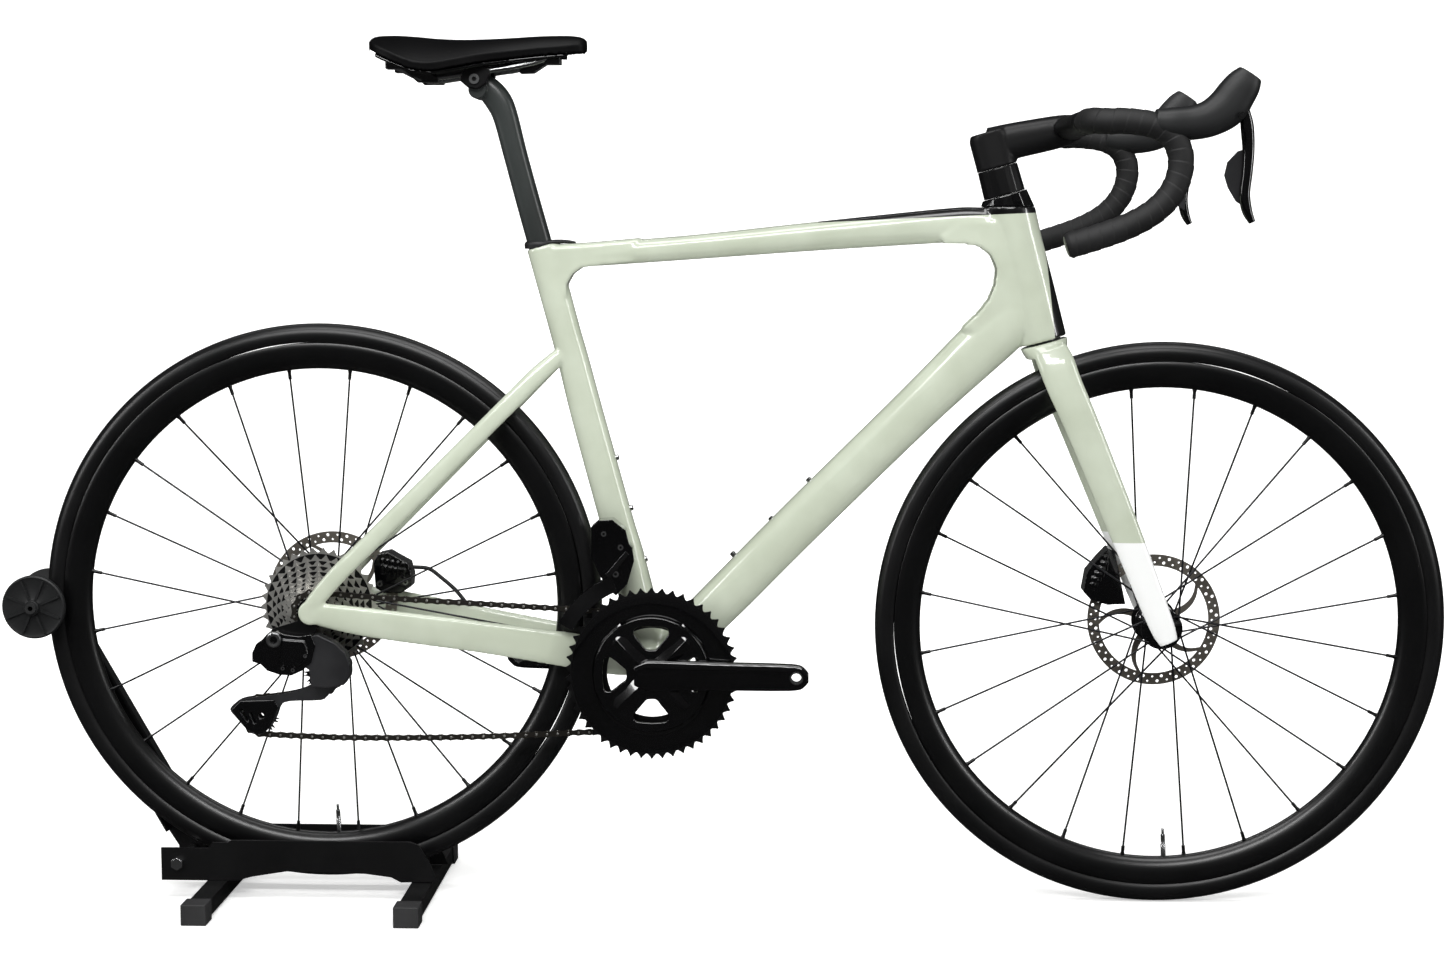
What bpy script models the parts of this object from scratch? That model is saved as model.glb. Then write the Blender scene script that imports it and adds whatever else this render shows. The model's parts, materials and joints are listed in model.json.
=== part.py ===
"""Road bicycle held upright by its rear wheel in a low display stand.

Metres, +Z up. +X points the way the bicycle rides and -Y is its chain side. Sizes below are in millimetres
measured from the rear axle (x) and the floor (z); everything is shifted at the end so that the origin sits
on the floor under the middle of the whole object.
"""

import math

import bmesh
import bpy
from mathutils import Matrix, Vector

MM = 0.001
GAP = 0.3

# Wheels
WHEELBASE = 1007.25
WHEEL_RADIUS = 339.0
TYRE_HALF = 14.0
TYRE_WALL = 2.5
RIM_TOP = 315.7
RIM_INNER = 284.6
REAR_AXLE_Z = 359.3
SPOKES = 24
SPOKE_LEAN_DEG = 52.0
REAR_AXLE = (0.0, REAR_AXLE_Z)
FRONT_AXLE = (WHEELBASE, WHEEL_RADIUS)
ROTOR_RADIUS = 80.0
FRONT_ROTOR_Y = 35.0
REAR_ROTOR_Y = 55.8
AXLE_RADIUS = 6.0

# Drive train
BOTTOM_BRACKET = (402.0, 284.0)
CRANK_LENGTH = 172.5
CHAIN_PITCH = 12.7
OUTER_TEETH = 50
INNER_TEETH = 34
COG_TEETH = (11, 12, 13, 14, 15, 17, 19, 21, 24, 27, 30, 34)
PULLEY_TEETH = 11
OUTER_RING_Y = -47.8
INNER_RING_Y = -40.0
SMALL_COG_Y = -64.5
COG_SPACING = 3.5
CHAIN_HALF_WIDTH = 2.3
CHAIN_HALF_HEIGHT = 4.1
GUIDE_PULLEY = (10.0, 284.0)
TENSION_PULLEY = (-64.0, 233.0)
CAGE_PIVOT = (28.0, 289.0)
HANGER_BOLT = (-40.0, 330.0)

# Steering
CROWN = (865.0, 679.0)
HEAD_LEAN_DEG = 15.6
HEAD_TOP_Z = 836.0
COVER_RISE = 177.5
STEM_RISE = 211.0
STEERER_RADIUS = 14.3
BAR_X = 892.0
BAR_Z = 927.0
TAPE_RADIUS = 14.5
LEVER_PIVOT = (1057.0, 927.0)
LEVER_Y = 204.0

# Seat
POST_TOP = (236.5, 907.0)
POST_LEAN_DEG = 15.0
POST_HALF_DEPTH = 14.5
POST_HALF_WIDTH = 12.0
FRAME_TOP_Z = 790.0
RAIL_RADIUS = 3.5
RAIL_Y = 22.0
SADDLE_TILT = (197.0, 976.0)

# Stand
PLATE_Y = 39.0
PLATE_THICK = 3.0
FOOT_XS = (-129.0, 121.0)
FOOT_HALF_LENGTH = 150.0
FOOT_TUBE = (25.0, 20.0)
FOOT_CAP = (30.0, 25.0)
ARM_PIVOT = (-177.0, 44.0)
ROLLER = (-346.0, 357.0)
ROLLER_RADIUS = 38.5

ORIGIN_X = (WHEELBASE + WHEEL_RADIUS + ROLLER[0] - ROLLER_RADIUS) / 2

HEAD_UP = Vector((-math.sin(math.radians(HEAD_LEAN_DEG)), 0, math.cos(math.radians(HEAD_LEAN_DEG))))
HEAD_FORWARD = Vector((HEAD_UP.z, 0, -HEAD_UP.x))
SIDEWAYS = Vector((0, 1, 0))


# ---------------------------------------------------------------- shape helpers (all in millimetres)


def point(xz, y=0.0):
    return Vector((xz[0], y, xz[1]))


def on_steering_axis(rise, forward=0.0, y=0.0):
    """A point so far up the steering axis from the crown race, and so far in front of it."""
    return point(CROWN) + HEAD_UP * rise + HEAD_FORWARD * forward + SIDEWAYS * y


def level_section(z, half_depth, half_width, shift=0.0, power=2.0):
    """A level oval round the steering axis at height z."""
    rise = (z - CROWN[1]) / HEAD_UP.z
    return oval(
        on_steering_axis(rise) + Vector((shift, 0, 0)), Vector((1, 0, 0)), SIDEWAYS, half_depth,
        half_width, 16, power,
    )


def steering_rod(radius, low, high, count=20):
    """A round bar on the steering axis between two heights above the crown race."""
    return loft(
        [oval(on_steering_axis(rise), HEAD_FORWARD, SIDEWAYS, radius, radius, count) for rise in (low, high)]
    )


def post_section(run, grow=0.0):
    """The seatpost's section so far down its axis from the point where it bends."""
    lean = math.radians(POST_LEAN_DEG)
    down = Vector((math.sin(lean), 0, -math.cos(lean)))
    across = Vector((-down.z, 0, down.x))
    return oval(
        point(POST_TOP) + down * run, across, SIDEWAYS, POST_HALF_DEPTH + grow, POST_HALF_WIDTH + grow,
        16,
    )


def pitch_radius(teeth):
    return CHAIN_PITCH / (2 * math.sin(math.pi / teeth))


def oval(center, u, v, half_u, half_v, count=16, power=2.0):
    """A superellipse ring of points; power 2 is an ellipse and 4 is nearly a rectangle."""
    ring = []
    for i in range(count):
        angle = 2 * math.pi * (i + 0.5) / count
        c, s = math.cos(angle), math.sin(angle)
        du = half_u * math.copysign(abs(c) ** (2 / power), c)
        dv = half_v * math.copysign(abs(s) ** (2 / power), s)
        ring.append(center + u * du + v * dv)
    return ring


def close_up(bm):
    bmesh.ops.recalc_face_normals(bm, faces=bm.faces)
    return bm


def loft(rings, loop=False):
    """A skin through rings of the same number of points, with flat ends unless it is a loop."""
    bm = bmesh.new()
    rows = [[bm.verts.new(p) for p in ring] for ring in rings]
    pairs = list(zip(rows, rows[1:]))
    if loop:
        pairs.append((rows[-1], rows[0]))
    count = len(rows[0])
    for low, high in pairs:
        for i in range(count):
            j = (i + 1) % count
            bm.faces.new((low[i], low[j], high[j], high[i]))
    if not loop:
        bm.faces.new(rows[0][::-1])
        bm.faces.new(rows[-1])
    return close_up(bm)


def upright_loft(stations, count=16, power=2.0):
    """A loft through (x, y, z, half depth, half width), its sections square to the run seen from the side."""
    centers = [Vector(s[:3]) for s in stations]
    rings = []
    for i, station in enumerate(stations):
        before = centers[max(i - 1, 0)]
        after = centers[min(i + 1, len(centers) - 1)]
        run = Vector((after.x - before.x, 0, after.z - before.z)).normalized()
        across = Vector((-run.z, 0, run.x))
        rings.append(oval(centers[i], across, SIDEWAYS, station[3], station[4], count, power))
    return loft(rings)


def smooth_path(points, steps=4):
    """Points read from a Catmull-Rom curve through the given ones."""
    ends = [points[0] * 2 - points[1], *points, points[-1] * 2 - points[-2]]
    path = []
    for a, b, c, d in zip(ends, ends[1:], ends[2:], ends[3:]):
        for k in range(steps):
            t = k / steps
            path.append(
                0.5 * (
                    2 * b + (c - a) * t + (2 * a - 5 * b + 4 * c - d) * t**2 + (3 * b - a - 3 * c + d) * t**3
                )
            )
    return [*path, points[-1]]


def round_tube(path, radius, count=12):
    """A tube of one radius, or a radius for each point, whose sections turn with the path."""
    radii = radius if isinstance(radius, list) else [radius] * len(path)
    run = (path[1] - path[0]).normalized()
    side = run.orthogonal().normalized()
    rings = []
    for i, center in enumerate(path):
        run = (path[min(i + 1, len(path) - 1)] - path[max(i - 1, 0)]).normalized()
        side = (side - run * side.dot(run)).normalized()
        rings.append(oval(center, side, run.cross(side), radii[i], radii[i], count))
    return loft(rings)


def turned(profile, center=(0.0, 0.0), count=48):
    """A closed profile of (radius, y) turned about the sideways axis through center."""
    rings = []
    for i in range(count):
        angle = 2 * math.pi * i / count
        out = Vector((math.cos(angle), 0, math.sin(angle)))
        rings.append([point(center, y) + out * r for r, y in profile])
    return loft(rings, loop=True)


def rod(center, radius, y_low, y_high, count=16):
    """A plain round bar along Y."""
    rings = [
        oval(
            point(center, y), Vector((1, 0, 0)), Vector((0, 0, 1)), radius, radius, count,
        ) for y in (y_low, y_high)
    ]
    return loft(rings)


def slab(outline, y_low, y_high):
    """An outline of (x, z) given the thickness from y_low to y_high."""
    return loft([[point(p, y) for p in outline] for y in (y_low, y_high)])


def block(x, y, z):
    return slab([(x[0], z[0]), (x[1], z[0]), (x[1], z[1]), (x[0], z[1])], *y)


def arc(center, radius, start_deg, end_deg, count):
    """Points on part of a circle, in (x, z)."""
    angles = [math.radians(start_deg + (end_deg - start_deg) * i / (count - 1)) for i in range(count)]
    return [(center[0] + radius * math.cos(a), center[1] + radius * math.sin(a)) for a in angles]


def capsule(a, b, radius_a, radius_b, count=9):
    """The outline of two circles and the straight sides between them."""
    heading = math.degrees(math.atan2(b[1] - a[1], b[0] - a[0]))
    return [
        *arc(b, radius_b, heading - 90, heading + 90, count),
        *arc(a, radius_a, heading + 90, heading + 270, count),
    ]


def rotor_slot(center, rotor_y):
    """The room a brake rotor turns in, taken out of a caliper."""
    low, high = rotor_y - 4, rotor_y + 4
    return turned([(20, low), (84, low), (84, high), (20, high)], center, 48)


def toothed(center, teeth, tip, root):
    """A sprocket's outline: a tip and a root for each tooth."""
    outline = []
    for i in range(2 * teeth):
        angle = math.pi * i / teeth
        radius = root if i % 2 else tip
        outline.append((center[0] + radius * math.cos(angle), center[1] + radius * math.sin(angle)))
    return outline


def helper_object(bm):
    mesh = bpy.data.meshes.new("helper")
    bm.to_mesh(mesh)
    bm.free()
    made = bpy.data.objects.new("helper", mesh)
    bpy.context.scene.collection.objects.link(made)
    return made


def combined(base, others, operation, solver="EXACT"):
    """The base joined with, or cut by, each of the others in turn."""
    target = helper_object(base)
    for other in others:
        tool = helper_object(other)
        modifier = target.modifiers.new("combine", "BOOLEAN")
        modifier.operation = operation
        modifier.solver = solver
        modifier.object = tool
        graph = bpy.context.evaluated_depsgraph_get()
        result = bpy.data.meshes.new_from_object(target.evaluated_get(graph))
        target.modifiers.clear()
        target.data = result
        bpy.data.objects.remove(tool)
    bm = bmesh.new()
    bm.from_mesh(target.data)
    bpy.data.objects.remove(target)
    return bm


def joined(first, *others):
    return combined(first, others, "UNION")


def cut(base, *cutters):
    return combined(base, cutters, "DIFFERENCE")


def joined_flush(first, *others):
    """A join of closed shapes whose faces lie in the same planes, which the exact solver leaves open."""
    return combined(first, others, "UNION", "MANIFOLD")


def cut_flush(base, *cutters):
    """The same for cutters that run along the base's own faces."""
    return combined(base, cutters, "DIFFERENCE", "MANIFOLD")


# ---------------------------------------------------------------- materials and placing


def material(name, color, roughness, metallic=0.0):
    made = bpy.data.materials.new(name)
    made.use_nodes = True
    shader = made.node_tree.nodes["Principled BSDF"]
    shader.inputs["Base Color"].default_value = (*color, 1)
    shader.inputs["Roughness"].default_value = roughness
    shader.inputs["Metallic"].default_value = metallic
    return made


def pivot_empty(name, xz, y=0.0, parent=None):
    """An empty on a joint's axis; the pieces that move together hang from it."""
    empty = bpy.data.objects.new(name, None)
    bpy.context.scene.collection.objects.link(empty)
    place = (point(xz, y) - Vector((ORIGIN_X, 0, 0))) * MM
    empty["place"] = tuple(place)
    empty.location = place
    if parent:
        empty.parent = parent
        empty.location = place - Vector(parent["place"])
    return empty


def piece(name, bm, finish, parent):
    """One named sub-part, in metres, whose origin is its parent empty's place."""
    place = Vector(parent["place"])
    bm.transform(Matrix.Scale(MM, 4) @ Matrix.Translation((-ORIGIN_X, 0, 0)))
    bm.transform(Matrix.Translation(-place))
    mesh = bpy.data.meshes.new(name)
    bm.to_mesh(mesh)
    bm.free()
    mesh.shade_smooth()
    mesh.set_sharp_from_angle(angle=math.radians(35))
    mesh.materials.append(finish)
    made = bpy.data.objects.new(name, mesh)
    bpy.context.scene.collection.objects.link(made)
    made.parent = parent
    return made


# ---------------------------------------------------------------- stand


def stand_parts(root, fold, finish):
    top = [
        (-197, 63), (-139, 63), (-134, 70), (-115, 70), (-111, 73), (108, 73), (118, 69), (130, 50),
        (141, 24),
    ]
    foot_top = 2.5 + FOOT_TUBE[1]
    bottom = [
        (96, foot_top + GAP), (84, 29), (53, 33), (-44, 35), (-86, 28), (-105, foot_top + GAP),
        (-197, foot_top + GAP),
    ]
    outline = [*top, *bottom]
    plates = [slab(outline, y - PLATE_THICK / 2, y + PLATE_THICK / 2) for y in (-PLATE_Y, PLATE_Y)]
    cradles = []
    for side in (-1, 1):
        near, far = side * 100, side * 118
        wedge = [(near, 24), (far, 24), (far, 41), (near, 34.8)]
        cradles.append(slab(wedge if side > 0 else wedge[::-1], -PLATE_Y, PLATE_Y))
    channel = joined(plates[0], *cradles, plates[1])
    channel = cut(channel, rod(ARM_PIVOT, 5 + GAP, -60, 60))
    piece("stand_channel", channel, finish["stand"], root)

    for name, x in zip(("rear", "front"), FOOT_XS):
        half_w, height = FOOT_TUBE[0] / 2, FOOT_TUBE[1]
        reach = FOOT_HALF_LENGTH - 3 - GAP
        tube = block((x - half_w, x + half_w), (-reach, reach), (2.5, 2.5 + height))
        hollow = block((x - half_w + 2, x + half_w - 2), (-200, 200), (4.5, 0.5 + height))
        piece(f"stand_foot_tube_{name}", cut(tube, hollow), finish["stand"], root)
        for side, sign in (("right", -1), ("left", 1)):
            half_c = FOOT_CAP[0] / 2
            ys = sorted((sign * (FOOT_HALF_LENGTH - 28), sign * FOOT_HALF_LENGTH))
            cap = block((x - half_c, x + half_c), ys, (0, FOOT_CAP[1]))
            pocket_ys = sorted((sign * (FOOT_HALF_LENGTH - 60), sign * (FOOT_HALF_LENGTH - 3)))
            pocket = block(
                (x - half_w - GAP, x + half_w + GAP), pocket_ys, (2.5 - GAP, 2.5 + height + GAP)
            )
            piece(f"stand_foot_cap_{name}_{side}", cut(cap, pocket), finish["cap"], root)

    bolt = joined(
        rod(ARM_PIVOT, 5, -44, 44), rod(ARM_PIVOT, 8, -46, -PLATE_Y - 1.5 - GAP, 6),
        rod(ARM_PIVOT, 8, PLATE_Y + 1.5 + GAP, 46, 6),
    )
    piece("stand_pivot_bolt", bolt, finish["steel"], root)

    rise = math.atan2(ROLLER[1] - ARM_PIVOT[1], ROLLER[0] - ARM_PIVOT[0])
    along = Vector((math.cos(rise), 0, math.sin(rise)))
    across = Vector((along.z, 0, -along.x))
    length = (point(ROLLER) - point(ARM_PIVOT)).length

    def arm_point(run, side):
        spot = point(ARM_PIVOT) + along * run + across * side
        return (spot.x, spot.z)

    web_outline = [
        *arc(ARM_PIVOT, 15, math.degrees(rise) + 100, math.degrees(rise) + 260, 9),
        arm_point(30, 24),
        arm_point(length - 60, 21),
        arm_point(length, 12),
        arm_point(length + 12, 0),
        arm_point(length, -12),
        arm_point(length - 60, -18),
        arm_point(30, -17),
    ]
    web = slab(web_outline, 33.5, 36.5)
    flanges = []
    for inner, outer in ((21, 24), (-17, -14)):
        edge = [
            arm_point(34, inner), arm_point(34, outer), arm_point(length - 62, outer - 3),
            arm_point(length - 62, inner - 3),
        ]
        flanges.append(slab(edge, 21.0, 35.0))
    arm = joined(web, *flanges)
    arm = cut(arm, rod(ARM_PIVOT, 5 + GAP, 0, 60), rod(ROLLER, 4 + GAP, 0, 60))
    piece("stand_arm", arm, finish["stand"], fold)

    spool = turned(
        [
            (4 + GAP, -44), (9, -44), (9, -40), (ROLLER_RADIUS, -36), (ROLLER_RADIUS, -30), (12, -22),
            (6.3, -18),
         (6.3, 15), (12, 18), (ROLLER_RADIUS, 24), (ROLLER_RADIUS, 29), (9, 33), (4 + GAP, 33)],
        ROLLER, 18,
    )
    return spool


# ---------------------------------------------------------------- frame


def frame_solid():
    bb = BOTTOM_BRACKET
    head = loft([
        oval(on_steering_axis(0), HEAD_FORWARD, SIDEWAYS, 28, 24),
        oval(on_steering_axis(60), HEAD_FORWARD, SIDEWAYS, 29, 22),
        oval(on_steering_axis(120), HEAD_FORWARD, SIDEWAYS, 29.5, 22),
        level_section(HEAD_TOP_Z, 32, 23),
    ])
    down_tube = upright_loft(
        [(846, 0, 722, 24, 18), (818, 0, 697, 32, 21), (717, 0, 599, 28, 23), (580, 0, 463, 27.5, 24),
         (480, 0, 361, 27, 28), (bb[0], 0, bb[1], 24, 31)], 12, 2.5)
    top_tube = upright_loft(
        [(272, 0, 775, 11, 11), (330, 0, 780, 13.5, 15), (455, 0, 789.5, 14.5, 17), (596, 0, 802, 17, 18),
         (742, 0, 814, 20, 19), (785, 0, 816, 20, 19), (822, 0, 814, 18, 17)], 12, 2.5)
    seat_tube = upright_loft(
        [
            (270, 0, FRAME_TOP_Z, 18.5, 16), (295, 0, 696, 18, 16), (306, 0, 655, 18.5, 16),
            (324, 0, 584, 19.5, 16),
         (357, 0, 462, 20, 17), (371, 0, 411, 21, 21), (bb[0] - 2, 0, bb[1] + 6, 22, 30)], 12, 2.5)
    shell = rod(bb, 25, -34, 34, 24)
    tubes = [down_tube, top_tube, seat_tube, shell]
    for sign in (-1, 1):
        tubes.append(upright_loft(
            [(304, sign * 6, 672, 8, 5), (268, sign * 17, 640, 10.5, 7), (240, sign * 26, 612, 10.6, 6.5),
             (215, sign * 31, 587, 10.6, 6.5), (150, sign * 43, 522, 10.6, 6.5),
             (70, sign * 62, 442, 10.6, 6.5),
             (34, sign * 72.5, 406, 10.6, 6), (8, sign * 76, 376, 10, 5.5),
             (-2, sign * 76, 363, 8, 5.2)], 10, 2.5))
        tubes.append(upright_loft(
            [
                (bb[0] - 12, sign * 22, 290, 14, 8), (355, sign * 26, 298, 20, 7),
                (320, sign * 27.5, 305, 21, 6.5),
             (290, sign * 29, 310, 21, 6.5), (200, sign * 45, 326, 19, 6.5), (103, sign * 66, 342, 18, 6),
             (60, sign * 73, 349, 17, 6), (25, sign * 76, 355, 15, 5.5),
             (0, sign * 76, REAR_AXLE_Z, 12, 5.2)], 10, 2.5))
        low, high = sorted((sign * (71 + GAP), sign * 81))
        tubes.append(rod(REAR_AXLE, 14, low, high))
    solid = joined_flush(head, *tubes)
    post_bore = loft([post_section(run, GAP) for run in (60, 260)])
    hanger_pocket = joined(
        slab(capsule(REAR_AXLE, HANGER_BOLT, 15, 13), -75 - GAP, -60),
        slab(capsule(REAR_AXLE, (-6, 340), 15, 15), -75 - GAP, -60),
    )
    return cut_flush(
        solid, post_bore, steering_rod(18, -40, 260), steering_rod(21, -40, 8),
        rod(bb, 20.5 + GAP, -60, 60, 24),
        rod(REAR_AXLE, AXLE_RADIUS + GAP, -90, 90), hanger_pocket, rod(REAR_AXLE, 40, -71, 71, 24),
    )


def frame_parts(parent, finish):
    piece("frame", frame_solid(), finish["paint"], parent)

    cover = loft([
        level_section(HEAD_TOP_Z + GAP, 32, 23),
        oval(on_steering_axis(COVER_RISE), HEAD_FORWARD, SIDEWAYS, 27, 21),
    ])
    piece("headset_cover", cut(cover, steering_rod(STEERER_RADIUS + GAP, 100, 260)), finish["black"], parent)

    seal = cut(steering_rod(20.5, -1.6, 7), steering_rod(STEERER_RADIUS + GAP, -30, 30))
    piece("headset_bearing_lower", seal, finish["steel"], parent)

    collar_runs = ((120.5, 4.5), (115, 4.5), (110, 2))
    collar = loft([post_section(run, grow) for run, grow in collar_runs])
    hole = loft([post_section(run, GAP) for run in (60, 200)])
    piece("seatpost_cover", cut(collar, hole), finish["rubber"], parent)

    hanger = joined(
        slab(capsule(REAR_AXLE, (-6, 340), 13.5, 12), -75, -71 - GAP),
        slab(capsule((-6, 340), HANGER_BOLT, 12, 11), -75, -71 - GAP),
    )
    hanger = cut(hanger, rod(REAR_AXLE, AXLE_RADIUS + GAP, -90, -60), rod(HANGER_BOLT, 4 + GAP, -90, -60))
    piece("derailleur_hanger", hanger, finish["black"], parent)

    axle = joined(rod(REAR_AXLE, AXLE_RADIUS, -80, 82), rod(REAR_AXLE, 9, 81 + GAP, 86))
    piece("rear_axle", axle, finish["black"], parent)

    cups = turned(
        [
            (12 + GAP, -42), (22.5, -42), (22.5, -34 - GAP), (20.5, -34 - GAP), (20.5, 34 + GAP),
            (22.5, 34 + GAP),
         (22.5, 42), (12 + GAP, 42), (12 + GAP, 26), (17, 26), (17, -26),
         (12 + GAP, -26)], BOTTOM_BRACKET, 16)
    piece("bottom_bracket", cups, finish["black"], parent)

    hose_path = smooth_path(
        [Vector(p) for p in ((103, 64, 394), (118, 63, 392), (134, 61, 381), (150, 58, 368), (160, 56, 357))],
        4
    )
    piece("rear_brake_hose", round_tube(hose_path, 2.5, 6), finish["rubber"], parent)

    caliper = block((57, 100), (44, 78), (368, 405))
    slot = rotor_slot(REAR_AXLE, REAR_ROTOR_Y)
    stay_room = upright_loft(
        [(290, 29, 310, 22, 7.5), (200, 45, 326, 20, 7.5), (103, 66, 342, 19, 7), (60, 73, 349, 18, 7),
         (25, 76, 355, 16, 6.5)], 12, 2.5)
    caliper = cut(caliper, slot, stay_room, rod(REAR_AXLE, 68, 30, 52.5, 32))
    piece("rear_caliper", caliper, finish["black"], parent)


# ---------------------------------------------------------------- fork, bar and levers


def fork_parts(parent, finish):
    steerer = steering_rod(STEERER_RADIUS, -12, STEM_RISE + 35)
    crown = loft([
        oval(on_steering_axis(s, shift), HEAD_FORWARD, SIDEWAYS, depth, width, 20, 2.4)
        for s, shift, depth, width in ((-2.6, 0, 28, 26), (-9, 0, 27, 32), (-17, 0, 24, 36))
    ])
    legs = []
    for sign in (-1, 1):
        legs.append(upright_loft(
            [
                (870, sign * 27, 670, 20, 7), (878, sign * 33, 652, 21.5, 9),
                (887, sign * 38, 628, 21, 8.5), (911, sign * 44, 573, 20, 8),
             (963, sign * 51, 447, 18, 7), (1001, sign * 56.5, 352, 15, 6),
             (1012, sign * 57, 327, 11, 6)], 14, 2.2))
    fork = joined(crown, steerer, *legs)
    fork = cut(
        fork, rod(FRONT_AXLE, AXLE_RADIUS + GAP, -90, 90), rod(FRONT_AXLE, 17, -50 - GAP, 50 + GAP, 32)
    )
    piece("fork", fork, finish["paint"], parent)

    axle = joined(rod(FRONT_AXLE, AXLE_RADIUS, -62, 64), rod(FRONT_AXLE, 8.5, 64, 68))
    piece("front_axle", axle, finish["black"], parent)

    spacer = loft([
        oval(on_steering_axis(COVER_RISE + GAP), HEAD_FORWARD, SIDEWAYS, 25, 20),
        oval(on_steering_axis(STEM_RISE - GAP), HEAD_FORWARD, SIDEWAYS, 24, 20),
    ])
    hole_span = (STEERER_RADIUS + GAP, 0, STEM_RISE + 35.5)
    piece("steerer_spacer", cut(spacer, steering_rod(*hole_span)), finish["black"], parent)

    clamp = loft([
        oval(on_steering_axis(STEM_RISE + rise), HEAD_FORWARD, SIDEWAYS, depth, 20, 16, 2.6)
        for rise, depth in ((0, 24), (37, 24), (43, 21))
    ])
    stem = upright_loft(
        [(800, 0, 907, 22, 17), (830, 0, 914, 21, 17), (880, 0, 924, 19, 20), (900, 0, 929, 15, 24)], 16,
        3,
    )
    bar_path = [Vector((BAR_X, y, BAR_Z)) for y in (-172, -60, -26, 26, 60, 172)]
    wing = loft([
        oval(p, Vector((1, 0, 0)), Vector((0, 0, 1)), 20 if abs(p.y) < 170 else 14, 13, 16) for p in bar_path
    ])
    cockpit = cut(joined(clamp, stem, wing), steering_rod(*hole_span))
    piece("cockpit", cockpit, finish["black"], parent)

    leg_room = upright_loft(
        [(870, 27, 670, 22, 8), (887, 38, 628, 22, 9), (911, 44, 573, 21, 9),
         (963, 51, 447, 19, 8), (1001, 56.5, 352, 16, 7)], 14, 2.2)
    caliper = slab([(921, 374), (944, 430), (953, 427), (972, 359)], 23.5, 60)
    slot = rotor_slot(FRONT_AXLE, FRONT_ROTOR_Y)
    piece("front_caliper", cut(caliper, slot, leg_room), finish["black"], parent)


def hand_route(sign):
    """The bar's centre line from the edge of its top to the end of the drop."""
    corners = [
        (BAR_X, 172.6, BAR_Z), (BAR_X + 1, 184, BAR_Z), (BAR_X + 7, 197, BAR_Z), (BAR_X + 20, 204, BAR_Z - 1),
        (930, 206, 926), (958, 207, 922), (978, 207, 911), (988, 208, 892), (988, 209, 870), (979, 210, 848),
        (961, 211, 829), (935, 212, 814), (903, 212, 802), (867, 213, 791),
    ]
    return smooth_path([Vector((x, sign * y, z)) for x, y, z in corners], 2)


def control_parts(steering, levers, paddles, finish):
    for side, sign in (("right", -1), ("left", 1)):
        tape = round_tube(hand_route(sign), TAPE_RADIUS, 8)
        piece(f"bar_tape_{side}", tape, finish["tape"], steering)

        y = sign * LEVER_Y
        hood = upright_loft(
            [
                (952, sign * 206, 921, 13, 15), (975, sign * 206, 921, 17, 17), (1000, y, 923, 19, 18),
                (1022, y, 931, 21, 18),
             (1041, y, 945, 22, 17), (1053, y, 960, 22, 16.5), (1061, y, 974, 15, 13),
             (1064, y, 979, 6, 6)], 16, 2.3)
        clearance = round_tube(hand_route(sign), TAPE_RADIUS + GAP, 8)
        lever_slot = block((1038, 1075), sorted((sign * (LEVER_Y - 8.5), sign * (LEVER_Y + 8.5))), (890, 940))
        piece(f"hood_{side}", cut(hood, clearance, lever_slot), finish["rubber"], steering)

        blade = upright_loft(
            [(1057, y, 938, 5, 7), (1060, y, 920, 7, 7.5), (1062, y, 895, 6.5, 6), (1061, y, 870, 6, 6),
             (1059, y, 848, 6, 6), (1062, y, 830, 5.5, 6), (1068, y, 817, 3.5, 4.5)], 12, 2.6)
        piece(f"brake_lever_{side}", blade, finish["gloss"], levers[side])

        outline = [(1063, 897), (1052, 894), (1041, 882), (1038, 868), (1042, 855), (1051, 840), (1060, 834)]
        inner = sign * (LEVER_Y - 9.5)
        piece(
            f"shift_paddle_{side}", slab(outline[::-1], *sorted((inner, inner + sign * 3))),
            finish["black"], paddles[side],
        )


# ---------------------------------------------------------------- seat


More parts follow.
